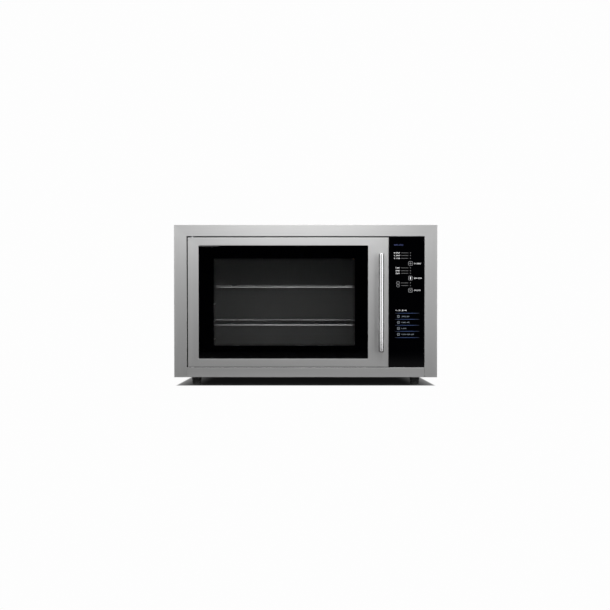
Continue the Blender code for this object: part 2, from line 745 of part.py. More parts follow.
def element_bracket(which):
    """A tab from the left wall that holds the bend of an element."""
    height = element_heights()[which]
    legs = element_legs()
    y = legs[0] + (legs[1] - legs[0]) * TAB_SHARE
    bend_x = CAVITY_LEFT + ELEMENT_SIDE_GAP
    low = height - ELEMENT_D / 2 - FIT
    if which == "lower":
        z = (low - FIT, low - FIT + TAB_H)
    else:
        z = (height - TAB_H / 2, height + TAB_H / 2)
    tab = block(which + "_element_bracket", (CAVITY_LEFT + FIT, bend_x + ELEMENT_D),
                (y - TAB_T / 2, y + TAB_T / 2), z)
    hole = drill("hole", "y", (bend_x, y, height), 2 * OVERRUN, ELEMENT_D + 2 * FIT)
    return cut(tab, hole)


def lamp_pieces():
    y, z = lamp_place()
    outside = CAVITY_RIGHT + CAVITY_SHEET
    wall_x = outside + FIT
    flange = LAMP_FLANGE_D / 2
    inner = LAMP_D / 2 - LAMP_WALL
    housing = turned("lamp_housing", "x", (wall_x, y, z), [
        (flange, 0.0), (flange, LAMP_WALL), (LAMP_D / 2, LAMP_WALL), (LAMP_D / 2, LAMP_L)], FINE)
    cut(housing, rod("hollow", "x", (wall_x - OVERRUN, y, z), LAMP_L - LAMP_WALL + OVERRUN, 2 * inner, FINE))
    bulb = BULB_D / 2
    cap = BULB_CAP_D / 2
    seat_x = wall_x + LAMP_L - LAMP_WALL - FIT
    profile = [(cap, 0.0), (cap, -BULB_L / 3)]
    for step in range(1, 6):
        angle = math.pi * step / 6
        profile.append((bulb * math.sin(angle), -BULB_L / 3 * (2 - math.cos(angle))))
    profile.append((0.0, -BULB_L))
    bulb_item = turned("lamp_bulb", "x", (seat_x, y, z), profile, 16)
    lens = LENS_D / 2
    dome = [(lens, 0.0), (lens, -LENS_RIM)]
    for step in range(1, 4):
        angle = math.pi / 2 * step / 4
        dome.append((lens * math.cos(angle), -LENS_RIM - (LENS_RISE - LENS_RIM) * math.sin(angle)))
    dome.append((0.0, -LENS_RISE))
    lens_item = turned("lamp_lens", "x", (CAVITY_RIGHT - FIT, y, z), dome, FINE)
    return [housing, bulb_item, lens_item]


def temperature_probe():
    y, z = probe_place()
    start = CAVITY_RIGHT + CAVITY_SHEET + FIT
    tip = PROBE_D / 2
    nut = PROBE_NUT_D / 2
    return turned("temperature_probe", "x", (start, y, z), [
        (tip, -PROBE_REACH), (tip, 0.0), (nut, 0.0), (nut, PROBE_NUT_T), (tip, PROBE_NUT_T),
        (tip, SHIELD_SPACE + SHEET + ELEMENT_TAIL)], COARSE)


def thermal_cutout():
    x = CAVITY_RIGHT + CAVITY_SHEET + FIT
    y = CAVITY_BACK_Y - CUTOUT_BACK_GAP
    z = CAVITY_ROOF_Z - CUTOUT_DROP
    half = CUTOUT_PLATE_W / 2
    disc = CUTOUT_D / 2
    plate = block("thermal_cutout", (x, x + CUTOUT_PLATE_T), (y - half, y + half), (z - disc, z + disc))
    return fuse(plate, rod("disc", "x", (x + CUTOUT_PLATE_T / 2, y, z), CUTOUT_T, CUTOUT_D))


def fan_axis():
    return BAY_MIDDLE_X, BASE_Z + FAN_RISE


def fan_frame():
    """A square frame with a round duct, three arms and the motor boss they carry."""
    x, z = fan_axis()
    half = FAN_SIZE / 2
    y1 = BACK_Y - SHEET - FIT
    y0 = y1 - FAN_T
    frame = block("fan_frame", (x - half, x + half), (y0, y1), (z - half, z + half))
    cut(frame, drill("duct", "y", (x, (y0 + y1) / 2, z), FAN_T + 2 * OVERRUN, FAN_BORE_D, FINE))
    fuse(frame, rod("boss", "y", (x, y0, z), FAN_ARM_T, FAN_HUB_D))
    reach = (FAN_BORE_D + FAN_SIZE) / 4
    for step in range(3):
        arm = block("arm", (-FAN_ARM_W / 2, FAN_ARM_W / 2), (y0 + FIT, y0 + FAN_ARM_T - FIT), (0.0, reach))
        turn = Matrix.Rotation(2 * math.pi * step / 3, 4, "Y")
        arm.matrix_world = Matrix.Translation((x, 0.0, z)) @ turn
        fuse(frame, arm)
    return frame


def fan_impeller():
    """A hub with pitched blades, clear of the duct and of the motor boss."""
    x, z = fan_axis()
    y1 = BACK_Y - SHEET - FIT
    y0 = y1 - FAN_T + FAN_ARM_T + FIT
    length = y1 - FIT - y0
    hub = rod("fan_impeller", "y", (x, y0, z), length, FAN_HUB_D)
    tip = FAN_BORE_D / 2 - FAN_TIP_GAP
    root = FAN_HUB_D / 2 - BLADE_T
    middle_y = y0 + length / 2
    for step in range(FAN_BLADES):
        blade = block("blade", (-BLADE_T / 2, BLADE_T / 2), (-BLADE_CHORD / 2, BLADE_CHORD / 2), (root, tip))
        pitch = Matrix.Rotation(math.radians(BLADE_PITCH_DEG), 4, "Z")
        turn = Matrix.Rotation(2 * math.pi * step / FAN_BLADES, 4, "Y")
        blade.matrix_world = Matrix.Translation((x, middle_y, z)) @ turn @ pitch
        fuse(hub, blade)
    return hub


def control_glass():
    return block("control_glass", (PANEL_LEFT, PANEL_RIGHT), depth(0.0, GLASS_T), (PANEL_BOTTOM, PANEL_TOP))


def panel_carrier():
    """A tray behind the control glass that holds the touch board."""
    x = (PANEL_LEFT + FIT, PANEL_RIGHT - FIT)
    z = (PANEL_BOTTOM + FIT, PANEL_TOP - FIT)
    wall = CARRIER_WALL
    front = GLASS_T + FIT
    carrier = block("panel_carrier", x, depth(front, JAMB_D), z)
    hollow = block("hollow", (x[0] + wall, x[1] - wall), depth(front - OVERRUN, JAMB_D - CARRIER_BACK_T),
                   (z[0] + wall, z[1] - wall))
    middle = (z[0] + z[1]) / 2
    port = block("port", (x[0] + BAY_HOLE_EDGE, x[1] - BAY_HOLE_EDGE), depth(0.0, JAMB_D + OVERRUN),
                 (middle - CONNECTOR_H, middle + CONNECTOR_H))
    return cut(carrier, hollow, port)


def touch_board():
    """The board on the back of the glass, with its display light box and a connector."""
    edge = CARRIER_WALL + 2 * FIT
    x = (PANEL_LEFT + edge, PANEL_RIGHT - edge)
    z = (PANEL_BOTTOM + edge, PANEL_TOP - edge)
    front = GLASS_T + FIT + LIGHT_BOX_D
    board = block("touch_board", x, depth(front, front + BOARD_T), z)
    middle_x = (x[0] + x[1]) / 2
    light = block("light_box", (middle_x - LIGHT_BOX_W / 2, middle_x + LIGHT_BOX_W / 2),
                  depth(GLASS_T + FIT, front + BOARD_T / 2),
                  (z[1] - LIGHT_BOX_DROP - LIGHT_BOX_H, z[1] - LIGHT_BOX_DROP))
    middle_z = (z[0] + z[1]) / 2
    plug = block("plug", (middle_x - CONNECTOR_W / 2, middle_x + CONNECTOR_W / 2),
                 depth(front + BOARD_T / 2, front + BOARD_T + CONNECTOR_D),
                 (middle_z - CONNECTOR_H / 2, middle_z + CONNECTOR_H / 2))
    return fuse(board, light, plug)


def power_board():
    """The mains board on its standoffs, with two relays and a transformer."""
    seat = SHIELD_X + SHEET + FIT
    x = (seat + STANDOFF_H, seat + STANDOFF_H + BOARD_T)
    y0 = FRONT_Y + ELEMENT_FRONT_D + ELEMENT_D + STANDOFF_D
    y1 = y0 + POWER_BOARD_D
    z0 = BASE_Z + POWER_BOARD_RISE + 2 * TERMINAL_H
    z1 = z0 + POWER_BOARD_H
    board = block("power_board", x, (y0, y1), (z0, z1))
    edge = STANDOFF_D
    for y in (y0 + edge, y1 - edge):
        for z in (z0 + edge, z1 - edge):
            fuse(board, rod("standoff", "x", (seat, y, z), STANDOFF_H + BOARD_T / 2, STANDOFF_D, COARSE))
    face = x[1] - BOARD_T / 2
    for step in range(2):
        relay_y = y0 + 2 * edge + step * (RELAY_D + edge)
        fuse(board, block("relay", (face, face + RELAY_H), (relay_y, relay_y + RELAY_D),
                          (z0 + edge, z0 + edge + RELAY_W)))
    top = z1 - edge
    fuse(board, block("transformer", (face, face + TRANSFORMER_W),
                      (y1 - 2 * edge - TRANSFORMER_D, y1 - 2 * edge), (top - TRANSFORMER_H, top)))
    return board


def terminal_block():
    """The screw terminals that the mains lead ends in, on the bay floor."""
    x = (BAY_MIDDLE_X - TERMINAL_W / 2, BAY_MIDDLE_X + TERMINAL_W / 2)
    y1 = BACK_Y - COVER_FLANGE_D - TERMINAL_FORWARD
    bottom = BASE_Z + SHEET + FIT
    terminals = block("terminal_block", x, (y1 - TERMINAL_D, y1), (bottom, bottom + TERMINAL_H))
    third = TERMINAL_W / 3
    first = x[0] + third
    grooves = slots("grooves", "x", (first - TERMINAL_GROOVE / 2, first + TERMINAL_GROOVE / 2),
                    (y1 - TERMINAL_D - OVERRUN, y1 + OVERRUN),
                    (bottom + TERMINAL_H - TERMINAL_GROOVE, bottom + TERMINAL_H + OVERRUN), 2, third)
    return cut(terminals, grooves)


def cord_gland():
    """The bushing that the mains lead would pass through."""
    body = GLAND_BODY_D / 2
    flange = GLAND_FLANGE_D / 2
    start = (BAY_MIDDLE_X, BACK_Y, BASE_Z + GLAND_RISE)
    gland = turned("cord_gland", "y", start, [
        (body, -SHEET - GLAND_IN), (body, FIT), (flange, FIT), (flange, GLAND_FLANGE_T)])
    return cut(gland, drill("bore", "y", start, 4 * GLAND_IN, GLAND_BORE_D))


def door_frame():
    """The folded steel front of the door, lipped around the glass."""
    x = (DOOR_LEFT, DOOR_RIGHT)
    z = (DOOR_BOTTOM, DOOR_TOP)
    frame = block("door_frame", x, depth(0.0, DOOR_SHELL_D), z)
    hollow = block("hollow", (x[0] + SHEET, x[1] - SHEET), depth(SHEET, DOOR_SHELL_D + OVERRUN),
                   (z[0] + SHEET, z[1] - SHEET))
    cut(frame, hollow)
    outer = GLASS_CORNER_R + SHEET
    lip = rounded_block("lip", (PANE_LEFT - SHEET, PANE_RIGHT + SHEET), depth(SHEET / 2, DOOR_LIP_D),
                        (PANE_BOTTOM - SHEET, PANE_TOP + SHEET), outer)
    fuse(frame, lip)
    pane = rounded_block("pane", (PANE_LEFT, PANE_RIGHT), depth(-OVERRUN, DOOR_LIP_D + OVERRUN),
                         (PANE_BOTTOM, PANE_TOP), GLASS_CORNER_R)
    holes = [pane]
    for height in (DOOR_BOTTOM, DOOR_TOP):
        holes.append(drill("pin_hole", "z", (PIVOT_X, PIVOT_Y, height), 2 * OVERRUN, PIN_D + 2 * PIN_PLAY))
    for height in post_heights():
        holes.append(drill("screw_hole", "y", (HANDLE_X, FRONT_Y, height), 2 * OVERRUN,
                           SCREW_D + 2 * FIT, COARSE))
    return cut(frame, *holes)


def rounded_block(name, x, y, z, radius):
    """A block along Y whose four corners are rounded, seen from the front."""
    half_x = (x[1] - x[0]) / 2
    half_z = (z[1] - z[0]) / 2
    shape = bmesh.new()
    ring = []
    for px, pz, _ in rounded_loop(half_x, half_z, radius, 4):
        ring.append(shape.verts.new((px, (y[0] - y[1]) / 2, pz)))
    face = shape.faces.new(ring)
    extruded = bmesh.ops.extrude_face_region(shape, geom=[face])
    moved = [part for part in extruded["geom"] if isinstance(part, bmesh.types.BMVert)]
    bmesh.ops.translate(shape, vec=(0.0, y[1] - y[0], 0.0), verts=moved)
    bmesh.ops.recalc_face_normals(shape, faces=shape.faces)
    mesh = bpy.data.meshes.new(name)
    shape.to_mesh(mesh)
    shape.free()
    return add_object(name, mesh, ((x[0] + x[1]) / 2, (y[0] + y[1]) / 2, (z[0] + z[1]) / 2))


def door_glass_outer():
    lap = GLASS_OVERLAP
    front = DOOR_LIP_D + FIT
    return block("door_glass_outer", (PANE_LEFT - lap, PANE_RIGHT + lap), depth(front, front + GLASS_T),
                 (PANE_BOTTOM - lap, PANE_TOP + lap))


def door_glass_inner():
    lap = INNER_GLASS_OVERLAP
    back = DOOR_T - SHEET - FIT
    return block("door_glass_inner", (WINDOW_LEFT - lap, WINDOW_RIGHT + lap), depth(back - GLASS_T, back),
                 (WINDOW_BOTTOM - lap, WINDOW_TOP + lap))


def door_liner():
    """The inner panel of the door, a tray that fits inside the frame's folded edge."""
    side = SHEET + FIT
    x = (DOOR_LEFT + side, DOOR_RIGHT - side)
    z = (DOOR_BOTTOM + side, DOOR_TOP - side)
    front = DOOR_T - SHEET - LINER_FLANGE_D
    liner = block("door_liner", x, depth(front, DOOR_T), z)
    hollow = block("hollow", (x[0] + SHEET, x[1] - SHEET), depth(front - OVERRUN, DOOR_T - SHEET),
                   (z[0] + SHEET, z[1] - SHEET))
    window = block("window", (WINDOW_LEFT, WINDOW_RIGHT), depth(front, DOOR_T + OVERRUN),
                   (WINDOW_BOTTOM, WINDOW_TOP))
    return cut(liner, hollow, window)


def door_seal():
    """A soft ring on the back of the door that meets the front plate round the mouth."""
    lap = SEAL_LAP
    x = (CAVITY_LEFT - lap, CAVITY_RIGHT + lap)
    z = (CAVITY_FLOOR_Z - lap, CAVITY_ROOF_Z + lap)
    y = depth(DOOR_T + FIT, JAMB_D)
    seal = block("door_seal", (x[0] - SEAL_W, x[1] + SEAL_W), y, (z[0] - SEAL_W, z[1] + SEAL_W))
    return cut(seal, block("ring", x, (y[0] - OVERRUN, y[1] + OVERRUN), z))


def post_heights():
    return DOOR_MIDDLE_Z - POST_SPACING / 2, DOOR_MIDDLE_Z + POST_SPACING / 2


def handle_bar():
    r = HANDLE_D / 2
    half = HANDLE_L / 2
    c = HANDLE_CHAMFER
    return turned("handle_bar", "z", (HANDLE_X, HANDLE_Y, DOOR_MIDDLE_Z), [
        (r - c, -half), (r, -half + c), (r, half - c), (r - c, half)], FINE)


def handle_post(name, height):
    """A round post with a saddle for the bar and a bore for its screw."""
    post = rod(name, "y", (HANDLE_X, HANDLE_Y, height), FRONT_Y - FIT - HANDLE_Y, POST_D)
    saddle = drill("saddle", "z", (HANDLE_X, HANDLE_Y, height), 2 * POST_D, HANDLE_D + 2 * FIT, FINE)
    bore = rod("bore", "y", (HANDLE_X, FRONT_Y - SCREW_REACH - FIT, height),
               SCREW_REACH + OVERRUN, SCREW_D + 2 * FIT, COARSE)
    return cut(post, saddle, bore)


def handle_screw(name, height):
    shaft = SCREW_D / 2
    head = SCREW_HEAD_D / 2
    under = SHEET + FIT
    return turned(name, "y", (HANDLE_X, FRONT_Y, height), [
        (shaft, -SCREW_REACH), (shaft, under), (head, under), (head, under + SCREW_HEAD_T)], COARSE)


def hinge_bracket(name, side):
    """A plate behind the frame that holds one hinge pin, folded up along its back."""
    face = OPEN_TOP + SHEET + FIT if side > 0 else OPEN_BOTTOM - SHEET - FIT
    far = face + side * BRACKET_T
    tip = face + side * BRACKET_LEG_H
    x0 = OPEN_LEFT + FIT
    x = (x0, x0 + BRACKET_W)
    plate = block(name, x, depth(SHEET + FIT, JAMB_D), sorted((face, far)))
    leg = block("leg", x, depth(JAMB_D - BRACKET_T, JAMB_D), sorted((face, tip)))
    fuse(plate, leg)
    return cut(plate, drill("pin_hole", "z", (PIVOT_X, PIVOT_Y, (face + far) / 2), 4 * BRACKET_T,
                            PIN_D + 2 * PIN_PLAY))


def hinge_pin(name, side):
    """A headed pin through the bracket and the frame into the door's bush."""
    seat = OPEN_TOP + SHEET + FIT + BRACKET_T + FIT if side > 0 else (
        OPEN_BOTTOM - SHEET - FIT - BRACKET_T - FIT)
    door_edge = DOOR_TOP if side > 0 else DOOR_BOTTOM
    reach = abs(seat - door_edge) + PIN_IN_DOOR
    shaft = PIN_D / 2
    head = PIN_HEAD_D / 2
    profile = [(shaft, -side * reach), (shaft, 0.0), (head, 0.0), (head, side * PIN_HEAD_T)]
    return turned(name, "z", (PIVOT_X, PIVOT_Y, seat), profile)


def hinge_bush(name, side):
    """A bearing block in the corner of the door that turns on its pin."""
    edge = SHEET + FIT
    outer = DOOR_TOP - edge if side > 0 else DOOR_BOTTOM + edge
    z = sorted((outer, outer - side * BUSH_H))
    half = PIVOT_INSET - edge
    bush = block(name, (PIVOT_X - half, PIVOT_X + half), (FRONT_Y + edge, PIVOT_Y + BUSH_BACK_D), z)
    return cut(bush, drill("bore", "z", (PIVOT_X, PIVOT_Y, outer), 4 * BUSH_H, PIN_D + 2 * PIN_PLAY))


def catch_magnet():
    face = DOOR_T + FIT + KEEPER_T + FIT
    half_w = MAGNET_W / 2
    half_h = MAGNET_H / 2
    rim = MAGNET_FLANGE
    behind = JAMB_D + FIT + SHEET + FIT
    body = block("catch_magnet", (CATCH_X - half_w, CATCH_X + half_w), depth(face, face + MAGNET_D),
                 (DOOR_MIDDLE_Z - half_h, DOOR_MIDDLE_Z + half_h))
    flange = block("flange", (CATCH_X - half_w, CATCH_X + half_w),
                   depth(behind, behind + MAGNET_FLANGE_T),
                   (DOOR_MIDDLE_Z - half_h - rim, DOOR_MIDDLE_Z + half_h + rim))
    return fuse(body, flange)


def catch_keeper():
    front = DOOR_T + FIT
    return block("catch_keeper", (CATCH_X - MAGNET_W / 2, CATCH_X + MAGNET_W / 2),
                 depth(front, front + KEEPER_T),
                 (DOOR_MIDDLE_Z - MAGNET_H / 2, DOOR_MIDDLE_Z + MAGNET_H / 2))


def door_switch_body():
    front = JAMB_D + FIT + SHEET + FIT
    body = block("door_switch_body", (CATCH_X - SWITCH_W / 2, CATCH_X + SWITCH_W / 2),
                 depth(front, front + SWITCH_D), (SWITCH_Z - SWITCH_H / 2, SWITCH_Z + SWITCH_H / 2))
    y = FRONT_Y + front
    bore = rod("bore", "y", (CATCH_X, y - OVERRUN, SWITCH_Z), PLUNGER_IN_BODY + OVERRUN + OVERRUN,
               PLUNGER_D + 2 * PIN_PLAY, COARSE)
    return cut(body, bore)


def door_switch_plunger():
    """The switch's sprung pin, held in by the closed door."""
    tip = DOOR_T + FIT
    body_front = JAMB_D + FIT + SHEET + FIT
    r = PLUNGER_D / 2
    return turned("door_switch_plunger", "y", (CATCH_X, FRONT_Y, SWITCH_Z), [
        (r * PLUNGER_TIP_SHARE, tip), (r, tip + r * (1 - PLUNGER_TIP_SHARE)),
        (r, body_front + PLUNGER_IN_BODY)], COARSE)


def foot_pieces():
    """Four moulded feet with a grooved sole, pressed into the base pan."""
    pieces = []
    top = FOOT_H - FIT
    stud = FOOT_STUD_D / 2
    groove = FOOT_GROOVE_D / 2
    groove_top = FOOT_SOLE_H + FOOT_GROOVE_H
    profile = [(FOOT_SOLE_D / 2, 0.0), (FOOT_D / 2, FOOT_SOLE_H), (groove, FOOT_SOLE_H),
               (groove, groove_top), (FOOT_D / 2, groove_top), (FOOT_TOP_D / 2, top), (stud, top),
               (stud, FOOT_H + SHEET + FOOT_STUD_H)]
    for place, (x, y) in foot_places().items():
        pieces.append(turned("foot_" + place, "z", (x, y, 0.0), profile))
    return pieces


def build():
    clear_scene()
    steel = make_material("brushed_steel", (0.62, 0.62, 0.61), 0.32, 1.0)
    plated = make_material("plated_sheet", (0.55, 0.56, 0.57), 0.45, 1.0)
    chrome = make_material("chrome", (0.80, 0.80, 0.80), 0.08, 1.0)
    enamel = make_material("cavity_steel", (0.05, 0.05, 0.055), 0.40, 0.6)
    black_glass = make_material("black_glass", (0.008, 0.008, 0.009), 0.05)
    clear_glass = make_material("tinted_glass", (0.20, 0.20, 0.20), 0.03, 0.0, 0.9)
    rubber = make_material("rubber", (0.03, 0.03, 0.03), 0.70)
    plastic = make_material("dark_plastic", (0.05, 0.05, 0.05), 0.50)
    wool = make_material("mineral_wool", (0.70, 0.68, 0.60), 0.95)
    board = make_material("circuit_board", (0.03, 0.20, 0.08), 0.50)
    element = make_material("element_sheath", (0.12, 0.12, 0.11), 0.45, 0.8)
    brass = make_material("brass", (0.70, 0.52, 0.22), 0.30, 1.0)

    hinge = joint_empty("door_axis", (PIVOT_X, PIVOT_Y, DOOR_MIDDLE_Z))
    fan_x, fan_z = fan_axis()
    fan = joint_empty("fan_axis", (fan_x, BACK_Y - SHEET - FIT - FAN_T / 2, fan_z))

    finish(outer_wrap(), steel)
    finish(base_pan(), steel)
    finish(back_cover(), plated)
    finish(front_plate(), plated)
    for item in cavity_pieces():
        finish(item, enamel)
    finish(insulation_wrap(), wool)
    finish(insulation_back(), wool)
    finish(bay_shield(), plated)
    for side in (-1, 1):
        finish(rack_guide(side), plated)
    finish(rack("upper_rack", level_z(GUIDE_LEVELS - 1)), chrome)
    finish(rack("lower_rack", level_z(LOWER_RACK_LEVEL)), chrome)
    finish(crumb_tray(), plated)
    for which in ("upper", "lower"):
        finish(heating_element(which), element)
        finish(element_bracket(which), plated)
    for item, material in zip(lamp_pieces(), (plated, clear_glass, clear_glass)):
        finish(item, material)
    finish(temperature_probe(), brass)
    finish(thermal_cutout(), plastic)
    finish(fan_frame(), plastic)
    finish(fan_impeller(), plastic, fan)
    finish(control_glass(), black_glass)
    finish(panel_carrier(), plastic)
    finish(touch_board(), board)
    finish(power_board(), board)
    finish(terminal_block(), plastic)
    finish(cord_gland(), rubber)

    for item in (door_frame(), door_liner()):
        finish(item, steel, hinge)
    for item in (door_glass_outer(), door_glass_inner()):
        finish(item, clear_glass, hinge)
    finish(door_seal(), rubber, hinge)
    finish(handle_bar(), chrome, hinge)
    for label, height in zip(("lower", "upper"), post_heights()):
        finish(handle_post("handle_post_" + label, height), chrome, hinge)
        finish(handle_screw("handle_screw_" + label, height), plated, hinge)
    for label, side in (("upper", 1), ("lower", -1)):
        finish(hinge_bracket("hinge_bracket_" + label, side), plated)
        finish(hinge_pin("hinge_pin_" + label, side), plated)
        finish(hinge_bush("hinge_bush_" + label, side), plastic, hinge)
    finish(catch_keeper(), plated, hinge)
    finish(catch_magnet(), plastic)
    finish(door_switch_body(), plastic)
    finish(door_switch_plunger(), brass)
    for foot in foot_pieces():
        finish(foot, rubber)


build()
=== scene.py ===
# %% [markdown]
# # A countertop oven, dressed
# The construction model is plain: right in its sizes and its joints, and bare in its looks.
# This lesson gives each piece the surface that the real one has. Most places are worked out
# from the boxes of the construction nodes. Only the window's border and the panel's marks are
# measured on the photograph. Every new piece rides on the body that carries it, so the door
# still swings with all that hangs on it.

# %% Load the frame
import math

import bmesh
import bpy
from mathutils import Matrix, Vector


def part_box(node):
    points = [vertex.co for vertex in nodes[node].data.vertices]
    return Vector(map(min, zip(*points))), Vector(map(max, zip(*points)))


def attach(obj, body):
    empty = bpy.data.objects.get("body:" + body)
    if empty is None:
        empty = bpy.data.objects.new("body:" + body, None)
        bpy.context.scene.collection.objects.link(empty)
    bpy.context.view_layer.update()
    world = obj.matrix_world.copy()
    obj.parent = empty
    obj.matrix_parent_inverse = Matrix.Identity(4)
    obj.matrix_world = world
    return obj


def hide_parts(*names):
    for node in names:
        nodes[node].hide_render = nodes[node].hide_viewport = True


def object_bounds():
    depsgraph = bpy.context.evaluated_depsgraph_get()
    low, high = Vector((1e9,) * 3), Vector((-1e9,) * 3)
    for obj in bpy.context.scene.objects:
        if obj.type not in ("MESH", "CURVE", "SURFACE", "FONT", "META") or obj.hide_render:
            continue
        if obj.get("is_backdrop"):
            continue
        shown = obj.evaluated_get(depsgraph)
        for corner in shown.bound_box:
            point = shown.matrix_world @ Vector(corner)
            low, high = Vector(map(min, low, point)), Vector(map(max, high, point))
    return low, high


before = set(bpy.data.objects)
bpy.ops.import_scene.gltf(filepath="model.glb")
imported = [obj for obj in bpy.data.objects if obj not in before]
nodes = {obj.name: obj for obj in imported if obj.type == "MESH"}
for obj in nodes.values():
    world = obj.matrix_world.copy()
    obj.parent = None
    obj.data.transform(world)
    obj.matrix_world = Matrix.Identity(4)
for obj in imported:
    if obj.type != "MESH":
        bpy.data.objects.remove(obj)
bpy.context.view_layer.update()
scene = bpy.context.scene

# %% [markdown]
# ## The places that everything else is measured from
# A maker dresses the front first, because that is what a buyer sees. The front plane is the
# face of the cabinet, and the door and the window are read from their own nodes. Typed-in
# numbers would do the same today, and would be wrong after the first change of size.

# %% Read the main places from the frame
WRAP_LOW, WRAP_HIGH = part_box("outer_wrap")
DOOR_LOW, DOOR_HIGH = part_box("door_frame")
PANE_LOW, PANE_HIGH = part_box("door_glass_outer")
FRONT_Y = WRAP_LOW.y
BACK_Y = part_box("back_cover")[1].y
print("Cabinet", [round(v, 4) for v in WRAP_HIGH - WRAP_LOW])

# %% [markdown]
# ## The camera
# The photograph was taken from straight ahead with a long lens, a little above the middle of
# the oven, and tipped down by a little over a degree and a half: the sides of the cabinet draw
# together by half a pixel towards the feet. The same place and tilt are used here, so that the
# render can be laid over the photograph.

# %% Camera
CAMERA_AHEAD = 3.17
CAMERA_X = -0.0015
CAMERA_Z = 0.271
CAMERA_TILT = math.radians(1.64)
LENS_MM = 83.5

camera = bpy.data.objects.new("camera", bpy.data.cameras.new("camera"))
camera.data.lens = LENS_MM
camera.location = (CAMERA_X, FRONT_Y - CAMERA_AHEAD, CAMERA_Z)
camera.rotation_euler = (math.pi / 2 - CAMERA_TILT, 0.0, 0.0)
scene.collection.objects.link(camera)
scene.camera = camera
scene.view_settings.view_transform = "Standard"
print("Camera", [round(v, 3) for v in camera.location])

# %% [markdown]
# ## Helpers for node trees
# Shader trees and geometry trees are built the same way: add a node, set its inputs, and link
# the outputs that feed it. One helper does all three, and a few short ones stand for the
# nodes that turn up everywhere, so that the trees below read like sums.

# %% Node helpers
def node(tree, kind, inputs=None, **settings):
    """Add a node. An input given as a socket is linked, any other input is set to the value."""
    made = tree.nodes.new(kind)
    for name, value in settings.items():
        setattr(made, name, value)
    for name, value in (inputs or {}).items():
        if isinstance(value, bpy.types.NodeSocket):
            tree.links.new(value, made.inputs[name])
        else:
            made.inputs[name].default_value = value
    return made


def first(tree, kind, inputs=None, **settings):
    """Add a node and hand back its first output."""
    return node(tree, kind, inputs, **settings).outputs[0]


def maths(tree, operation, one, other=0.0):
    """Work out one value from two. Some operations need only the first."""
    return first(tree, "ShaderNodeMath", {0: one, 1: other}, operation=operation)


def ramp(tree, value, low, high, start=0.0, end=1.0):
    """Read a value between low and high as one between start and end, and hold it beyond."""
    return first(tree, "ShaderNodeMapRange", {"Value": value, "From Min": low, "From Max": high,
                                              "To Min": start, "To Max": end})


def axes(tree, vector):
    return node(tree, "ShaderNodeSeparateXYZ", {0: vector}).outputs


def combined(tree, x=0.0, y=0.0, z=0.0):
    return first(tree, "ShaderNodeCombineXYZ", {0: x, 1: y, 2: z})


def object_place(tree):
    return node(tree, "ShaderNodeTexCoord").outputs["Object"]


def grey(value):
    return (value, value, value, 1.0)


print("Node helpers ready")

# %% [markdown]
# ## The studio
# The photograph is a catalogue picture: a white sweep behind the oven, and in front of it a
# room with two bright walls. The steel is evenly lit, the black glass shows nothing at all,
# and the round handle is white with dark edges and throws a soft shadow to its left only.
# A world that depends on direction alone gives all of that. Rays towards the camera find a
# dark patch, which is what the flat glass mirrors. The bright wall on the right begins close
# beside that patch, and the wall on the left begins farther out, so more light comes from the
# right. Both walls fade at their feet, which keeps the edge of the floor out of the glass. The
# sweep is white for the camera, and for the rays that metal and glass send up and behind.

# %% World
ROOM_DIM = 0.05
WALL_LEFT = 1.05
WALL_RIGHT = 1.42
BACKDROP_WHITE = 0.985
# Where each part begins and where it is whole, as a share of a direction's length.
DARK_PATCH_Y = (-0.992, -0.978)
WALLS_Y = (-0.30, -0.50)
WALL_FOOT_Z = (-0.17, -0.07)
RIGHT_WALL_X = (-0.20, -0.10)
LEFT_WALL_X = (-0.30, -0.40)
SWEEP_Y = (0.15, 0.45)
CEILING_Y = (-0.30, -0.10)
CEILING_Z = (0.04, 0.14)


def seen_white(tree, mask):
    """1 for camera rays, and the mask for rays that come by way of metal or glass."""
    path = node(tree, "ShaderNodeLightPath").outputs
    bent = maths(tree, "MAXIMUM", path["Is Glossy Ray"], path["Is Transmission Ray"])
    return maths(tree, "MAXIMUM", path["Is Camera Ray"], maths(tree, "MULTIPLY", bent, mask))


world = bpy.data.worlds.new("studio")
world.use_nodes = True
scene.world = world
tree = world.node_tree
tree.nodes.clear()
toward = axes(tree, node(tree, "ShaderNodeTexCoord").outputs["Generated"])
ceiling = maths(tree, "MULTIPLY", ramp(tree, toward["Z"], *CEILING_Z),
                ramp(tree, toward["Y"], *CEILING_Y))
sweep = maths(tree, "MAXIMUM", ramp(tree, toward["Y"], *SWEEP_Y), ceiling)
walls = maths(tree, "MAXIMUM", ramp(tree, toward["X"], *LEFT_WALL_X, end=WALL_LEFT),
              ramp(tree, toward["X"], *RIGHT_WALL_X, end=WALL_RIGHT))
for axis, edge in (("Y", WALLS_Y), ("Z", WALL_FOOT_Z)):
    walls = maths(tree, "MULTIPLY", walls, ramp(tree, toward[axis], *edge))
room = maths(tree, "MULTIPLY", maths(tree, "ADD", walls, ROOM_DIM),
             ramp(tree, toward["Y"], *DARK_PATCH_Y))
level = first(tree, "ShaderNodeMix", {"Factor": seen_white(tree, sweep), "A": room,
                                      "B": BACKDROP_WHITE})
background = first(tree, "ShaderNodeBackground", {"Color": grey(1.0), "Strength": level})
node(tree, "ShaderNodeOutputWorld", {"Surface": background})
print("Walls", WALL_LEFT, "and", WALL_RIGHT, "in a room at", ROOM_DIM)

# %% [markdown]
# ## The lamps
# The steel is bright at the top and dark at the bottom. That is what small lamps do when they
# hang close in front and a little above: the foot of the oven sees them at a steep angle, and
# a brushed face sends little light from there to the camera. One lamp stands to the left, so
# that the left stile isn't lost beside the bright wall. A last one lights the back and top.

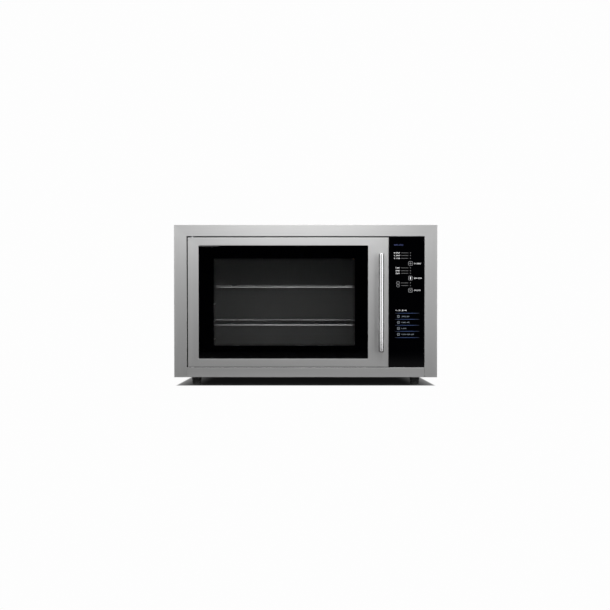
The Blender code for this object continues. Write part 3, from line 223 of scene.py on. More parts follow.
# %% Lamps
def lamp(name, place, aim, size, power):
    """A soft rectangular lamp that looks from its place to a point on the oven."""
    light = bpy.data.lights.new(name, "AREA")
    light.shape = "RECTANGLE"
    light.size, light.size_y = size
    light.energy = power
    item = bpy.data.objects.new(name, light)
    item.location = place
    item.rotation_euler = (Vector(aim) - Vector(place)).to_track_quat("-Z", "Y").to_euler()
    scene.collection.objects.link(item)


lamp("top_lamp", (0.0, -1.0, 0.46), (0.0, FRONT_Y, 0.30), (0.5, 0.12), 0.66)
lamp("left_lamp", (-0.62, -1.0, 0.42), (-0.62, FRONT_Y, 0.30), (0.75, 0.2), 0.36)
lamp("back_lamp", (0.0, 1.2, 1.6), (0.0, 0.0, 0.2), (1.6, 0.8), 7.0)

# %% [markdown]
# ## The floor
# A catalogue floor is white right up to the oven and dark under it. The outline of that shadow
# is painted: a mask by place lifts the sheet to white outside the oven's footprint, with a soft
# edge that tapers away behind, a painted light that creeps in under both sides, and a faint
# painted lift in the middle. Under the oven the matt sheet is also painted darker, and there it
# takes the real shadow of the lamps as well. The mask is kept off the rays that the steel and
# the glass send forwards, or the floor would glow in them from below, and far ahead the sheet
# darkens, so that the glass shows no edge.

# %% Floor
FLOOR_REACH = 1.4
FLOOR_OPEN = 0.30
# The paper under the oven is darker than the open floor: painted shade.
FLOOR_PAINTED_SHADE = 0.06
FLOOR_FAR_Y = (-1.3, -0.7)
FLOOR_FAR = 0.08
# The painted shadow: its outline, its soft edge, the painted light under its sides, its lift.
SHADOW_SIDE = 0.2885
SHADOW_AHEAD = 0.008
SHADOW_TAPER = 0.066
SHADOW_SOFT = 0.003
SHADOW_CREEP = 0.080
SHADOW_CREEP_POWER = 3.0
PAINTED_EDGE_LIGHT = 0.22
PAINTED_SHADOW_LIFT = 0.005


def painted_shadow_mask(tree, place):
    """1 on the open floor, a painted shadow under the oven, and painted light towards its sides."""
    inward = maths(tree, "MULTIPLY", maths(tree, "SUBTRACT", place["Y"], FRONT_Y), SHADOW_TAPER)
    side = maths(tree, "ADD", maths(tree, "ABSOLUTE", place["X"]), inward)
    side = maths(tree, "SUBTRACT", side, SHADOW_SIDE)
    start, end = FRONT_Y - SHADOW_AHEAD, BACK_Y
    along = maths(tree, "ABSOLUTE", maths(tree, "SUBTRACT", place["Y"], (start + end) / 2))
    along = maths(tree, "SUBTRACT", along, (end - start) / 2)
    rim = ramp(tree, maths(tree, "MAXIMUM", side, along), -SHADOW_SOFT, SHADOW_SOFT,
               PAINTED_SHADOW_LIFT)
    # Painted light that creeps in under the sides of the oven.
    painted_creep_light = maths(tree, "POWER", ramp(tree, side, -SHADOW_CREEP, 0.0), SHADOW_CREEP_POWER)
    return maths(tree, "MAXIMUM", rim, maths(tree, "MULTIPLY", painted_creep_light, PAINTED_EDGE_LIGHT))


floor_paper = bpy.data.materials.new("floor_paper")
floor_paper.use_nodes = True
tree = floor_paper.node_tree
tree.nodes.clear()
place = axes(tree, object_place(tree))
outside_painted_shadow = painted_shadow_mask(tree, place)
white = seen_white(tree, ramp(tree, place["Y"], FRONT_Y, BACK_Y))
lifted = maths(tree, "MULTIPLY", white, outside_painted_shadow)
# Under the oven the paper takes the darker colour of painted shade.
paper = maths(tree, "MULTIPLY", ramp(tree, outside_painted_shadow, 0.0, 1.0, FLOOR_PAINTED_SHADE, FLOOR_OPEN),
              ramp(tree, place["Y"], *FLOOR_FAR_Y, FLOOR_FAR))
matt = first(tree, "ShaderNodeBsdfDiffuse", {"Color": paper})
lit = first(tree, "ShaderNodeEmission", {"Color": grey(BACKDROP_WHITE)})
mixed = first(tree, "ShaderNodeMixShader", {0: lifted, 1: matt, 2: lit})
node(tree, "ShaderNodeOutputMaterial", {"Surface": mixed})

mesh = bpy.data.meshes.new("floor")
corners = [(x * FLOOR_REACH, y * FLOOR_REACH, 0.0) for x, y in ((-1, -1), (1, -1), (1, 1), (-1, 1))]
mesh.from_pydata(corners, [], [(0, 1, 2, 3)])
mesh.materials.append(floor_paper)
floor = bpy.data.objects.new("floor", mesh)
scene.collection.objects.link(floor)
floor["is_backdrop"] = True
print("Floor reaches", FLOOR_REACH, "m")

# %% [markdown]
# ## Effects that several finishes share
# Brushing, grain and smudges turn up on many surfaces at different scales, so each is a node
# group with named inputs, built once. A group gives masks and heights only; the shader that
# uses them stays in the material.

# %% Shared effects
def effect_group(name, inputs, outputs):
    """A shader node group with float inputs and outputs, and a vector to read places from."""
    group = bpy.data.node_groups.new(name, "ShaderNodeTree")
    group.interface.new_socket("Vector", in_out="INPUT", socket_type="NodeSocketVector")
    for label, value in inputs.items():
        made = group.interface.new_socket(label, in_out="INPUT", socket_type="NodeSocketFloat")
        made.default_value = value
    for label in outputs:
        group.interface.new_socket(label, in_out="OUTPUT", socket_type="NodeSocketFloat")
    return group, node(group, "NodeGroupInput").outputs, node(group, "NodeGroupOutput").inputs


def noise_pair(name, detail, **scales):
    """Two noises, one much coarser than the other, each with a scale of its own."""
    inputs = {label + " Scale": scale for label, scale in scales.items()}
    group, source, result = effect_group(name, inputs, scales)
    for label in scales:
        noise = node(group, "ShaderNodeTexNoise", {
            "Vector": source["Vector"], "Scale": source[label + " Scale"], "Detail": detail})
        group.links.new(noise.outputs["Fac"], result[label])
    return group


def hand_smudges():
    """Soft patches where hands and cloths have been, as a mask."""
    group, source, result = effect_group("hand_smudges", {"Scale": 9.0, "Amount": 1.0}, ["Smudge"])
    noise = node(group, "ShaderNodeTexNoise", {"Vector": source["Vector"], "Scale": source["Scale"],
                                               "Detail": 4.0, "Distortion": 0.6})
    patch = ramp(group, noise.outputs["Fac"], 0.48, 0.72, 0.0, source["Amount"])
    group.links.new(patch, result["Smudge"])
    return group


BRUSHED_LINES = noise_pair("brushed_lines", 3.0, Line=1.0, Band=0.08)
FINE_GRAIN = noise_pair("fine_grain", 2.0, Grain=2500.0, Mottle=18.0)
HAND_SMUDGES = hand_smudges()
print("Effects", [group.name for group in bpy.data.node_groups])

# %% [markdown]
# ## Finishes
# Each finish is one function that builds its material, with colours in linear values. The
# first helper makes the shader and hands back what the finish hangs its nodes on. The others
# let a mask move a shader value, a colour, or the relief, so that a finish reads as a short
# list of what varies on it.

# %% Finish helpers
def finish(name, colour, roughness, **sockets):
    """A material with one Principled shader, its plain values, and its Object coordinates."""
    material = bpy.data.materials.new(name)
    material.use_nodes = True
    tree = material.node_tree
    shader = tree.nodes["Principled BSDF"]
    shader.inputs["Base Color"].default_value = (*colour, 1.0)
    shader.inputs["Roughness"].default_value = roughness
    for label, value in sockets.items():
        shader.inputs[label.replace("_", " ")].default_value = value
    return material, tree, shader, object_place(tree)


def effect(tree, group, vector, **values):
    """Use a shared effect, and hand back its outputs."""
    made = node(tree, "ShaderNodeGroup", node_tree=group)
    tree.links.new(vector, made.inputs["Vector"])
    for label, value in values.items():
        made.inputs[label.replace("_", " ")].default_value = value
    return made.outputs


def vary(tree, mask, low, high, target):
    """Let a mask move a shader value between two limits."""
    tree.links.new(ramp(tree, mask, 0.0, 1.0, low, high), target)


def tint(tree, mask, dark, light, *targets):
    """Let a mask move a colour between two colours."""
    mixed = node(tree, "ShaderNodeMix", data_type="RGBA")
    tree.links.new(mask, mixed.inputs["Factor"])
    mixed.inputs["A"].default_value = (*dark, 1.0)
    mixed.inputs["B"].default_value = (*light, 1.0)
    for target in targets:
        tree.links.new(mixed.outputs["Result"], target)


def relief(tree, height, depth, shader, strength):
    bump = first(tree, "ShaderNodeBump", {"Height": height, "Distance": depth,
                                          "Strength": strength})
    tree.links.new(bump, shader.inputs["Normal"])


print("Finish helpers ready")

# %% [markdown]
# ## The habit that most surfaces share
# On nearly every real surface the gloss and the colour drift slowly, and a fine grain lies over
# that. Each material could be built from nothing, but then one of them soon lacks the drift and
# looks like paint. One function gives it to all of them, with the numbers of each material.

# %% Grained finish
def grained(name, colour, gloss, scales, by="Mottle", tints=None, bump=None, **sockets):
    """A finish whose gloss and colour drift between two limits, with a fine grain in relief."""
    material, tree, shader, place = finish(name, colour, gloss[0], **sockets)
    grain = effect(tree, FINE_GRAIN, place, Grain_Scale=scales[0], Mottle_Scale=scales[1])
    vary(tree, grain[by], *gloss, shader.inputs["Roughness"])
    if tints:
        tint(tree, grain["Mottle"], *tints, shader.inputs["Base Color"])
    if bump:
        relief(tree, grain["Grain"], bump[0], shader, bump[1])
    return material


print("Grained finish ready")

# %% [markdown]
# ## Brushed stainless steel
# The cabinet and the door are one alloy, brushed along each strip: upright on the stiles and
# sides, level on the rails and the top. Brushing leaves thousands of grooves, and a groove
# spreads a highlight across itself. A bump map fine enough for that would only sparkle, so
# the shader's anisotropy does the spreading and noise stretched along the grain shows the
# lines that an eye can still pick out. Where a sheet is bent, the bend pulls the grain smooth.

# %% Brushed steel
STEEL = 0.58
STEEL_ROUGHNESS = 0.37
STEEL_ANISOTROPY = 0.15
LINE_TINT = (0.93, 1.06)
BAND_DRIFT = (-0.05, 0.06)
GRAIN_LENGTH = 14.0
GRAIN_WIDTH = 1500.0


def brushed_steel(name, along):
    material, tree, shader, place = finish(name, (STEEL,) * 3, STEEL_ROUGHNESS, Metallic=1.0,
                                           Anisotropic=STEEL_ANISOTROPY)
    scale = [GRAIN_WIDTH] * 3
    scale["XYZ".index(along)] = GRAIN_LENGTH
    stretched = first(tree, "ShaderNodeMapping", {"Vector": place, "Scale": scale})
    brushing = effect(tree, BRUSHED_LINES, stretched)
    tint(tree, brushing["Line"], *((STEEL * share,) * 3 for share in LINE_TINT),
         shader.inputs["Base Color"])
    vary(tree, brushing["Band"], *(STEEL_ROUGHNESS + drift for drift in BAND_DRIFT),
         shader.inputs["Roughness"])
    relief(tree, brushing["Line"], 0.00002, shader, 0.35)
    across = first(tree, "ShaderNodeTangent", direction_type="RADIAL", axis=along)
    tree.links.new(across, shader.inputs["Tangent"])
    return material


steel_upright = brushed_steel("steel_upright", "Z")
steel_level = brushed_steel("steel_level", "X")
# The folds are smoother than the sheet, and lighter too: the lighter colour is a painted highlight.
fold_highlight_steel = grained("fold_highlight_steel", (0.78,) * 3, (0.20, 0.30), (900.0, 60.0),
                      bump=(0.00001, 0.4), Metallic=1.0)
print("Steel", steel_upright.name, steel_level.name, fold_highlight_steel.name)

# %% [markdown]
# ## Plated and enamelled sheet
# Hidden sheet parts are zinc plated: the zinc freezes in flat crystals a few millimetres
# across, and each crystal has its own brightness. Voronoi cells give just that. The cavity is
# dark enamel on steel: glossy, a little wavy like orange peel, and flecked with pale specks.
# The door's inner panel is satin steel with slow stains from heat.

# %% Sheet finishes
def zinc_plate():
    material, tree, shader, place = finish("zinc_plate", (0.55, 0.56, 0.57), 0.36, Metallic=1.0)
    crystals = node(tree, "ShaderNodeTexVoronoi", {"Vector": place, "Scale": 330.0})
    level = node(tree, "ShaderNodeSeparateColor", {0: crystals.outputs["Color"]}).outputs
    tint(tree, level[0], (0.50, 0.51, 0.52), (0.58, 0.59, 0.60), shader.inputs["Base Color"])
    vary(tree, level[1], 0.32, 0.44, shader.inputs["Roughness"])
    grain = effect(tree, FINE_GRAIN, place, Grain_Scale=1800.0)
    relief(tree, grain["Grain"], 0.00002, shader, 0.3)
    return material


def cavity_enamel():
    material, tree, shader, place = finish("cavity_enamel", (0.15,) * 3, 0.34, Coat_Weight=0.25,
                                           Coat_Roughness=0.12)
    grain = effect(tree, FINE_GRAIN, place, Grain_Scale=1400.0, Mottle_Scale=160.0)
    tint(tree, ramp(tree, grain["Grain"], 0.64, 0.70), (0.145,) * 3, (0.36,) * 3,
         shader.inputs["Base Color"])
    vary(tree, grain["Mottle"], 0.28, 0.42, shader.inputs["Roughness"])
    relief(tree, grain["Mottle"], 0.00012, shader, 0.5)
    return material


zinc = zinc_plate()
enamel = cavity_enamel()
liner_steel = grained("satin_liner", (0.50,) * 3, (0.32, 0.44), (700.0, 9.0), by="Grain",
                      tints=((0.47, 0.46, 0.44), (0.55,) * 3), bump=(0.00002, 0.4),
                      Metallic=1.0)
print("Sheet finishes", zinc.name, enamel.name, liner_steel.name)

# %% [markdown]
# ## Bright metal
# The handle is polished, so it mirrors the bright walls as a crisp white line between dark
# bands. The racks are chromed wire: bright, with a breath of haze. The heating elements have
# baked to a dull grey-brown oxide, and the probe and the plunger are brass gone slightly dark.
# A plain metal shader would do for a drawing. A haze that drifts over it is what tells the eye
# that the metal has been touched and wiped.

# %% Bright metals
def bright_metal(name, colour, haze, roughness, mottle=30.0):
    dull = tuple(value * haze for value in colour)
    return grained(name, colour, (roughness * 0.8, roughness * 1.3), (1600.0, mottle),
                   tints=(dull, colour), bump=(0.00001, 0.3), Metallic=1.0)


polished_steel = bright_metal("polished_steel", (0.84, 0.84, 0.85), 0.94, 0.13)
chrome_wire = bright_metal("chrome_wire", (0.66, 0.66, 0.67), 0.90, 0.22, 45.0)
aged_brass = bright_metal("aged_brass", (0.62, 0.45, 0.20), 0.65, 0.30, 200.0)
oxide = grained("element_oxide", (0.12, 0.11, 0.10), (0.38, 0.62), (1500.0, 35.0), by="Grain",
                tints=((0.07, 0.065, 0.06), (0.20, 0.18, 0.165)), bump=(0.00005, 0.5),
                Metallic=0.6)
print("Bright metals", polished_steel.name, chrome_wire.name, aged_brass.name, oxide.name)

# %% [markdown]
# ## Glass
# Clear glass bends light, and a path tracer then loses most of the light that should shine
# through it. Shadow rays are therefore let straight through: the panes still reflect and
# refract to the eye, and the lamps still reach the cavity. The black glass of the panel is
# opaque and glossy, and what breaks its mirror is a trace of wiping. The border is ceramic
# ink fired on the back of the glass: black, even, and quite matt.

# %% Glass
def clear_pane(name, colour, roughness):
    material, tree, shader, place = finish(name, colour, roughness, IOR=1.5,
                                           Transmission_Weight=1.0)
    smudge = effect(tree, HAND_SMUDGES, place, Scale=7.0)["Smudge"]
    vary(tree, smudge, roughness, roughness + 0.02, shader.inputs["Roughness"])
    shadow_ray = node(tree, "ShaderNodeLightPath").outputs["Is Shadow Ray"]
    through = first(tree, "ShaderNodeBsdfTransparent", {"Color": (*colour, 1.0)})
    mixed = first(tree, "ShaderNodeMixShader", {0: shadow_ray, 1: shader.outputs[0], 2: through})
    tree.links.new(mixed, tree.nodes["Material Output"].inputs["Surface"])
    return material


def black_gloss():
    material, tree, shader, place = finish("black_gloss", (0.0006, 0.0006, 0.0012), 0.05)
    smudge = effect(tree, HAND_SMUDGES, place, Scale=11.0)["Smudge"]
    vary(tree, smudge, 0.035, 0.09, shader.inputs["Roughness"])
    return material


pane_glass = clear_pane("pane_glass", (0.94,) * 3, 0.0)
lens_glass = clear_pane("lens_glass", (0.96, 0.96, 0.93), 0.05)
panel_glass = black_gloss()
ceramic_ink = grained("border_print", (0.0004, 0.0004, 0.0008), (0.5, 0.7), (3000.0, 18.0),
                      by="Grain", Specular_IOR_Level=0.0)
print("Glass", pane_glass.name, lens_glass.name, panel_glass.name, ceramic_ink.name)

# %% [markdown]
# ## Plastic, rubber, paint, wool and boards
# Moulded plastic shows the fine spark texture of its mould, and rubber is softer and duller.
# What lies behind the gaps round the door is a dead black, as painted shade, so that the gaps
# read as dark lines. Mineral wool is a mat of fibres lying every way. A circuit board is green
# lacquer with paler copper runs under it, which a brick pattern lays out in straight lines.

# %% Moulded and soft finishes
def moulded(name, colour, roughness, grain, depth, **sockets):
    pale = tuple(value * 1.5 + 0.004 for value in colour)
    return grained(name, colour, (roughness - 0.06, roughness + 0.08), (grain, 25.0),
                   tints=(colour, pale), bump=(depth, 0.6), **sockets)


def mineral_wool():
    material, tree, shader, place = finish("wool_mat", (0.45, 0.40, 0.28), 0.95)
    fibres = node(tree, "ShaderNodeTexNoise", {"Vector": place, "Scale": 420.0, "Detail": 6.0,
                                               "Distortion": 2.5}).outputs["Fac"]
    tint(tree, fibres, (0.30, 0.26, 0.17), (0.58, 0.53, 0.40), shader.inputs["Base Color"])
    relief(tree, fibres, 0.0012, shader, 0.9)
    return material


def board_lacquer():
    material, tree, shader, place = finish("board_lacquer", (0.010, 0.075, 0.030), 0.35,
                                           Coat_Weight=0.4, Coat_Roughness=0.15)
    facing = first(tree, "ShaderNodeMapping", {"Vector": place,
                                               "Rotation": (math.pi / 2, 0.3, 0.0)})
    tracks = node(tree, "ShaderNodeTexBrick", {
        "Vector": facing, "Scale": 40.0, "Mortar Size": 0.045, "Mortar Smooth": 0.2}).outputs["Fac"]
    tint(tree, tracks, (0.008, 0.060, 0.024), (0.030, 0.150, 0.050), shader.inputs["Base Color"])
    relief(tree, tracks, 0.00004, shader, 0.8)
    return material


spark_plastic = moulded("spark_plastic", (0.018, 0.018, 0.020), 0.48, 1300.0, 0.00012)
foot_rubber = moulded("foot_rubber", (0.030,) * 3, 0.62, 900.0, 0.00015)
gap_shade_black = moulded("gap_shade_black", (0.006,) * 3, 0.75, 1100.0, 0.00006,
                      Specular_IOR_Level=0.0)
seal_rubber = moulded("seal_rubber", (0.020, 0.019, 0.018), 0.55, 700.0, 0.00010)
wool = mineral_wool()
lacquer = board_lacquer()
print("Moulded finishes", spark_plastic.name, foot_rubber.name, gap_shade_black.name,
      seal_rubber.name, wool.name, lacquer.name)

# %% [markdown]
# ## The construction nodes take their finishes
# Most hidden parts already have their right shape, so they only change material. Each could be
# dressed by name, but the frame's own slot names already say which finish it wants, so one
# table and one loop dress them all and none is forgotten. The plate that the door closes
# against is dead black, as painted shade behind the gaps.

# %% Dress the construction nodes
FINISH_FOR = {"cabinet_steel": steel_upright, "plated_sheet": zinc, "cavity_sheet": enamel,
              "chrome": polished_steel, "clear_glass": lens_glass, "black_glass": panel_glass,
              "rubber": seal_rubber, "dark_plastic": spark_plastic, "circuit_board": lacquer,
              "mineral_wool": wool, "element_sheath": oxide, "brass": aged_brass}

slot_of = {}
for name, item in nodes.items():
    slot_of[name] = item.material_slots[0].material.name.split(".")[0]
    item.material_slots[0].material = FINISH_FOR[slot_of[name]]
# The plate behind the door gaps is dead black: painted shade for the gaps.
nodes["front_plate"].material_slots[0].material = gap_shade_black
print("Dressed", len(slot_of), "nodes from", len(set(slot_of.values())), "slots")

# %% [markdown]
# ## New pieces out of construction nodes
# A construction node is loose triangles, and a bevel needs whole faces. A piece could be
# modelled again from its sizes, but a copy of the node keeps every hole and flange in place.
# The copy is merged and its flat faces are joined up again, and what modifiers do to it is
# kept as a plain mesh at the origin.

# %% Piece helpers
WELD = 0.00001
FLAT = math.radians(0.5)


def piece_from(work, name, *materials):
    """Turn a bmesh into a piece at the origin."""
    mesh = bpy.data.meshes.new(name)
    work.to_mesh(mesh)
    work.free()
    if "custom_normal" in mesh.attributes:
        mesh.attributes.remove(mesh.attributes["custom_normal"])
    for material in materials:
        mesh.materials.append(material)
    item = bpy.data.objects.new(name, mesh)
    scene.collection.objects.link(item)
    return item


def merged_copy(source):
    """A construction node's shape as one closed skin with whole flat faces."""
    work = bmesh.new()
    work.from_mesh(nodes[source].data)
    bmesh.ops.remove_doubles(work, verts=work.verts, dist=WELD)
    bmesh.ops.dissolve_limit(work, angle_limit=FLAT, verts=work.verts, edges=work.edges)
    for face in work.faces:
        face.smooth = False
        face.material_index = 0
    return work


def bake(item):
    """Replace a piece's modifiers by the plain mesh that they give."""
    graph = bpy.context.evaluated_depsgraph_get()
    made = bpy.data.meshes.new_from_object(item.evaluated_get(graph))
    item.modifiers.clear()
    old, item.data = item.data, made
    bpy.data.meshes.remove(old)
    return item


print("Piece helpers ready")

# %% [markdown]
# ## Folds and edges
# Sheet is bent over a tool, so every fold has a small radius, and cut edges are broken so that
# they don't bite. The radius is what makes metal look like metal, because it is the only part
# of a flat box that can catch a lamp from any side. A bevel modifier makes it: a wide one on the
# long outer folds, whose face can take a finish of its own, a lighter steel that paints a
# highlight along the fold, and a narrow one everywhere else.

# %% Fold and edge helpers
FOLDED = 1.4
SHARP = math.radians(35.0)
FOLD_SEGMENTS = 4


def mark_folds(work, test):
    """Mark the long outer folds of a sheet piece, for the wide bend."""
    weight = work.edges.layers.float.new("bevel_weight_edge")
    for edge in work.edges:
        if (len(edge.link_faces) == 2 and edge.is_convex and edge.calc_face_angle() > FOLDED
                and test(edge)):
            edge[weight] = 1.0


def soften(item, radius, segments=2, fold=0.0, fold_highlight_finish=-1):
    """Round the marked folds widely and every other sharp edge narrowly, and bake the result."""
    if fold:
        wide = item.modifiers.new("wide_folds", "BEVEL")
        wide.width = fold
        wide.segments = FOLD_SEGMENTS
        wide.limit_method = "WEIGHT"
        wide.material = fold_highlight_finish
    bevel = item.modifiers.new("edges", "BEVEL")
    bevel.width = radius
    bevel.segments = segments
    bevel.limit_method = "ANGLE"
    bevel.angle_limit = SHARP
    item.data.shade_smooth()
    item.modifiers.new("flat_faces", "WEIGHTED_NORMAL").weight = 100
    return bake(item)


print("Fold and edge helpers ready")

# %% [markdown]
# ## Riding on a body
# Each piece belongs to one moving body of the oven, and takes over from the construction nodes
# that it covers. Parenting by hand would do that too; here one call parents each piece to its
# body and hides the nodes that it covers.

# %% Riding helpers
def settle(item, body, *replaced, slot=None):
    """Ride a finished piece on its body and let it stand for the nodes that it replaces."""
    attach(item, body)
    if replaced:
        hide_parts(*replaced)
    print(item.name, len(item.data.polygons), "faces on", body)


def softened_copy(source, name, material, radius, body, segments=2):
    """A node's own shape with its edges rounded, in one finish."""
    piece = piece_from(merged_copy(source), name, material)
    settle(soften(piece, radius, segments), body, source)


print("Riding helpers ready")

# %% [markdown]
# ## The cabinet wrap
# One sheet is folded over the top and both sides, and its front edge is folded in as a frame.
# The frame's two stiles are brushed upright and its top rail is brushed level, so the grain
# changes along a mitre at each top corner. A mask in the shader could switch the grain there,
# but a cut in the mesh stays sharp from any distance: the front face is cut on the mitre and
# each part takes its own steel. The returns that face the door are dead black, as painted shade
# in the gaps.

# %% Cabinet wrap
WRAP_FOLD = 0.0007
PLAIN_FOLD = 0.0005
EDGE_RADIUS = 0.0003
OPEN_X = 0.2665
OPEN_TOP = DOOR_HIGH.z + 0.0024
STILE_X = 0.27
LONG = 0.1
SAME_PLACE = 0.00005
# A face counts as facing along an axis when its normal reaches this far along it.
FACING = 0.9
# The order of the material slots of a brushed piece.
UPRIGHT, LEVEL, EDGE, GAP_SHADE = 0, 1, 2, 3


def near(value, *targets):
    return any(abs(value - target) < SAME_PLACE for target in targets)


def cut_mitres(work, outer, inner, face_y):
    """Cut the front face from each outer corner to its inner corner."""
    for (outer_x, outer_z), (inner_x, inner_z) in zip(outer, inner):
        faces = [face for face in work.faces
                 if face.normal.y < -FACING and near(face.calc_center_median().y, face_y)
                 and any(near(v.co.x, outer_x) and near(v.co.z, outer_z) for v in face.verts)]
        parts = set(faces)
        for face in faces:
            parts.update(face.edges)
            parts.update(face.verts)
        across = Vector((outer_z - inner_z, 0.0, inner_x - outer_x)).normalized()
        bmesh.ops.bisect_plane(work, geom=list(parts), dist=2 * WELD,
                               plane_co=(outer_x, face_y, outer_z), plane_no=across)


def level_where(work, test):
    for face in work.faces:
        is_level = test(face.normal, face.calc_center_median())
        face.material_index = LEVEL if is_level else UPRIGHT


work = merged_copy("outer_wrap")
cut_mitres(work, [(WRAP_LOW.x, WRAP_HIGH.z), (WRAP_HIGH.x, WRAP_HIGH.z)],
           [(-OPEN_X, OPEN_TOP), (OPEN_X, OPEN_TOP)], FRONT_Y)
level_where(work, lambda n, c: abs(n.z) > FACING
            or (abs(n.y) > FACING and c.z > OPEN_TOP and abs(c.x) < STILE_X))
# The returns facing the door take the dead black of painted shade.
for face in work.faces:
    if abs(face.normal.x) > FACING and near(abs(face.calc_center_median().x), OPEN_X):
        face.material_index = GAP_SHADE
mark_folds(work, lambda e: e.calc_length() > LONG
           and all(near(v.co.y, FRONT_Y) or near(v.co.z, WRAP_HIGH.z) for v in e.verts))
wrap = piece_from(work, "cabinet_wrap", steel_upright, steel_level, fold_highlight_steel, gap_shade_black)
settle(soften(wrap, EDGE_RADIUS, fold=WRAP_FOLD, fold_highlight_finish=EDGE), "cabinet", "outer_wrap")

# %% [markdown]
# ## Base pan and back cover
# The bottom rail under the door is part of the base pan, so a fine joint shows at each of
# its ends. The rail is brushed steel, and the pan behind it is plain zinc sheet like the
# back cover. They are one folded piece, so it stays one mesh, and its faces are sorted by place
# into their finishes. The rail's top, which lies in the gap under the door, is dead black, as
# painted shade in the gap.

# %% Base pan and back cover
RAIL_DEPTH = 0.028
RAIL_RISE = 0.015
RAIL, PAN = 0, 1

work = merged_copy("base_pan")
for face in work.faces:
    middle = face.calc_center_median()
    in_front = middle.y < FRONT_Y + RAIL_DEPTH
    face.material_index = RAIL if in_front else PAN
    # The rail's top inside the gap takes the dead black of painted shade.
    if in_front and face.normal.z > FACING and middle.z > WRAP_LOW.z + RAIL_RISE:
        face.material_index = GAP_SHADE
mark_folds(work, lambda e: e.calc_length() > LONG and all(near(v.co.y, FRONT_Y) for v in e.verts))
pan = piece_from(work, "bottom_rail_and_pan", steel_level, zinc, fold_highlight_steel, gap_shade_black)
settle(soften(pan, EDGE_RADIUS, fold=PLAIN_FOLD, fold_highlight_finish=EDGE), "cabinet", "base_pan")
softened_copy("back_cover", "vented_back", zinc, EDGE_RADIUS, "cabinet")

# %% [markdown]
# ## Trees that grow geometry
# What repeats is grown by Geometry Nodes. Each tree has named inputs for its sizes and one
# for its finish. `grow` sets them by identifier, lets the tree work once, and keeps the plain
# mesh, because the library's export keeps no live modifiers. Loops in a script could place
# copies as well, but a tree keeps the rule and its sizes together, where they can be changed.

# %% Geometry tree helpers
GROWN_SHARP = math.radians(40.0)


def geometry_tree(name, **sizes):
    group = bpy.data.node_groups.new(name, "GeometryNodeTree")
    group.interface.new_socket("Geometry", in_out="INPUT", socket_type="NodeSocketGeometry")
    for label, value in sizes.items():
        kind = "NodeSocketInt" if isinstance(value, int) else "NodeSocketFloat"
        made = group.interface.new_socket(label.replace("_", " "), in_out="INPUT",
                                          socket_type=kind)
        made.default_value = value
    group.interface.new_socket("Finish", in_out="INPUT", socket_type="NodeSocketMaterial")
    group.interface.new_socket("Geometry", in_out="OUTPUT", socket_type="NodeSocketGeometry")
    return group, node(group, "NodeGroupInput").outputs, node(group, "NodeGroupOutput")


def end_tree(group, sizes, result, shape):
    """Every tree ends the same way: real geometry, with its finish on it."""
    real = first(group, "GeometryNodeRealizeInstances", {"Geometry": shape})
    dressed = first(group, "GeometryNodeSetMaterial", {"Geometry": real,
                                                       "Material": sizes["Finish"]})
    group.links.new(dressed, result.inputs[0])
    return group


def grow(name, group, material, points, edges=(), **sizes):
    """Grow a tree on points and bake it to a plain mesh."""
    mesh = bpy.data.meshes.new(name)
    mesh.from_pydata([tuple(point) for point in points], list(edges), [])
    item = bpy.data.objects.new(name, mesh)
    scene.collection.objects.link(item)
    modifier = item.modifiers.new(group.name, "NODES")
    modifier.node_group = group
    wanted = {label.replace("_", " "): value for label, value in sizes.items()}
    wanted["Finish"] = material
    for entry in group.interface.items_tree:
        if entry.item_type == "SOCKET" and entry.in_out == "INPUT" and entry.name in wanted:
            modifier[entry.identifier] = wanted[entry.name]
    bake(item)
    item.data.shade_smooth()
    item.data.set_sharp_from_angle(angle=GROWN_SHARP)
    return item


print("Tree helpers ready")

# %% [markdown]
# ## Short names for the steps of a tree
# Most trees sweep a section along a path, set a shape down on points, and join what they made.
# With a short name for each of these steps a tree reads like instructions at a bench.

# %% Steps of a tree
ON_EDGE = (math.pi / 2, 0.0, 0.0)


def times(group, value, share):
    return maths(group, "MULTIPLY", value, share)


def moved(group, shape, **inputs):
    return first(group, "GeometryNodeTransform", {"Geometry": shape, **inputs})


def stamped(group, points, shape, **inputs):
    """Set a shape down on each point."""
    return first(group, "GeometryNodeInstanceOnPoints", {"Points": points, "Instance": shape,
                                                         **inputs})


def swept(group, path, section, caps=False):
    return first(group, "GeometryNodeCurveToMesh", {"Curve": path, "Profile Curve": section,
                                                    "Fill Caps": caps})


def round_section(group, size, count):
    return first(group, "GeometryNodeCurvePrimitiveCircle", {"Resolution": count,
                                                             "Radius": times(group, size, 0.5)})


def filleted(group, path, radius, count, **inputs):
    return first(group, "GeometryNodeFilletCurve", {"Curve": path, "Radius": radius,
                                                    "Count": count, **inputs}, mode="POLY")


def joined(group, *parts):
    both = node(group, "GeometryNodeJoinGeometry")
    for part in parts:
        group.links.new(part, both.inputs[0])
    return both.outputs[0]


print("Tree steps ready")

# %% [markdown]
# ## Screws
# Pan-head screws hold the back cover and the door's inner panel. A head is a low dome with a
# cross cut into it. A bump could fake the cross, but it would vanish at a glancing look, so one
# boolean cuts the first head, and every other one is an instance of it.

# %% Screws
COVER_SCREW_INSET = 0.0065
LINER_SCREW_INSET = (0.0093, 0.0125)


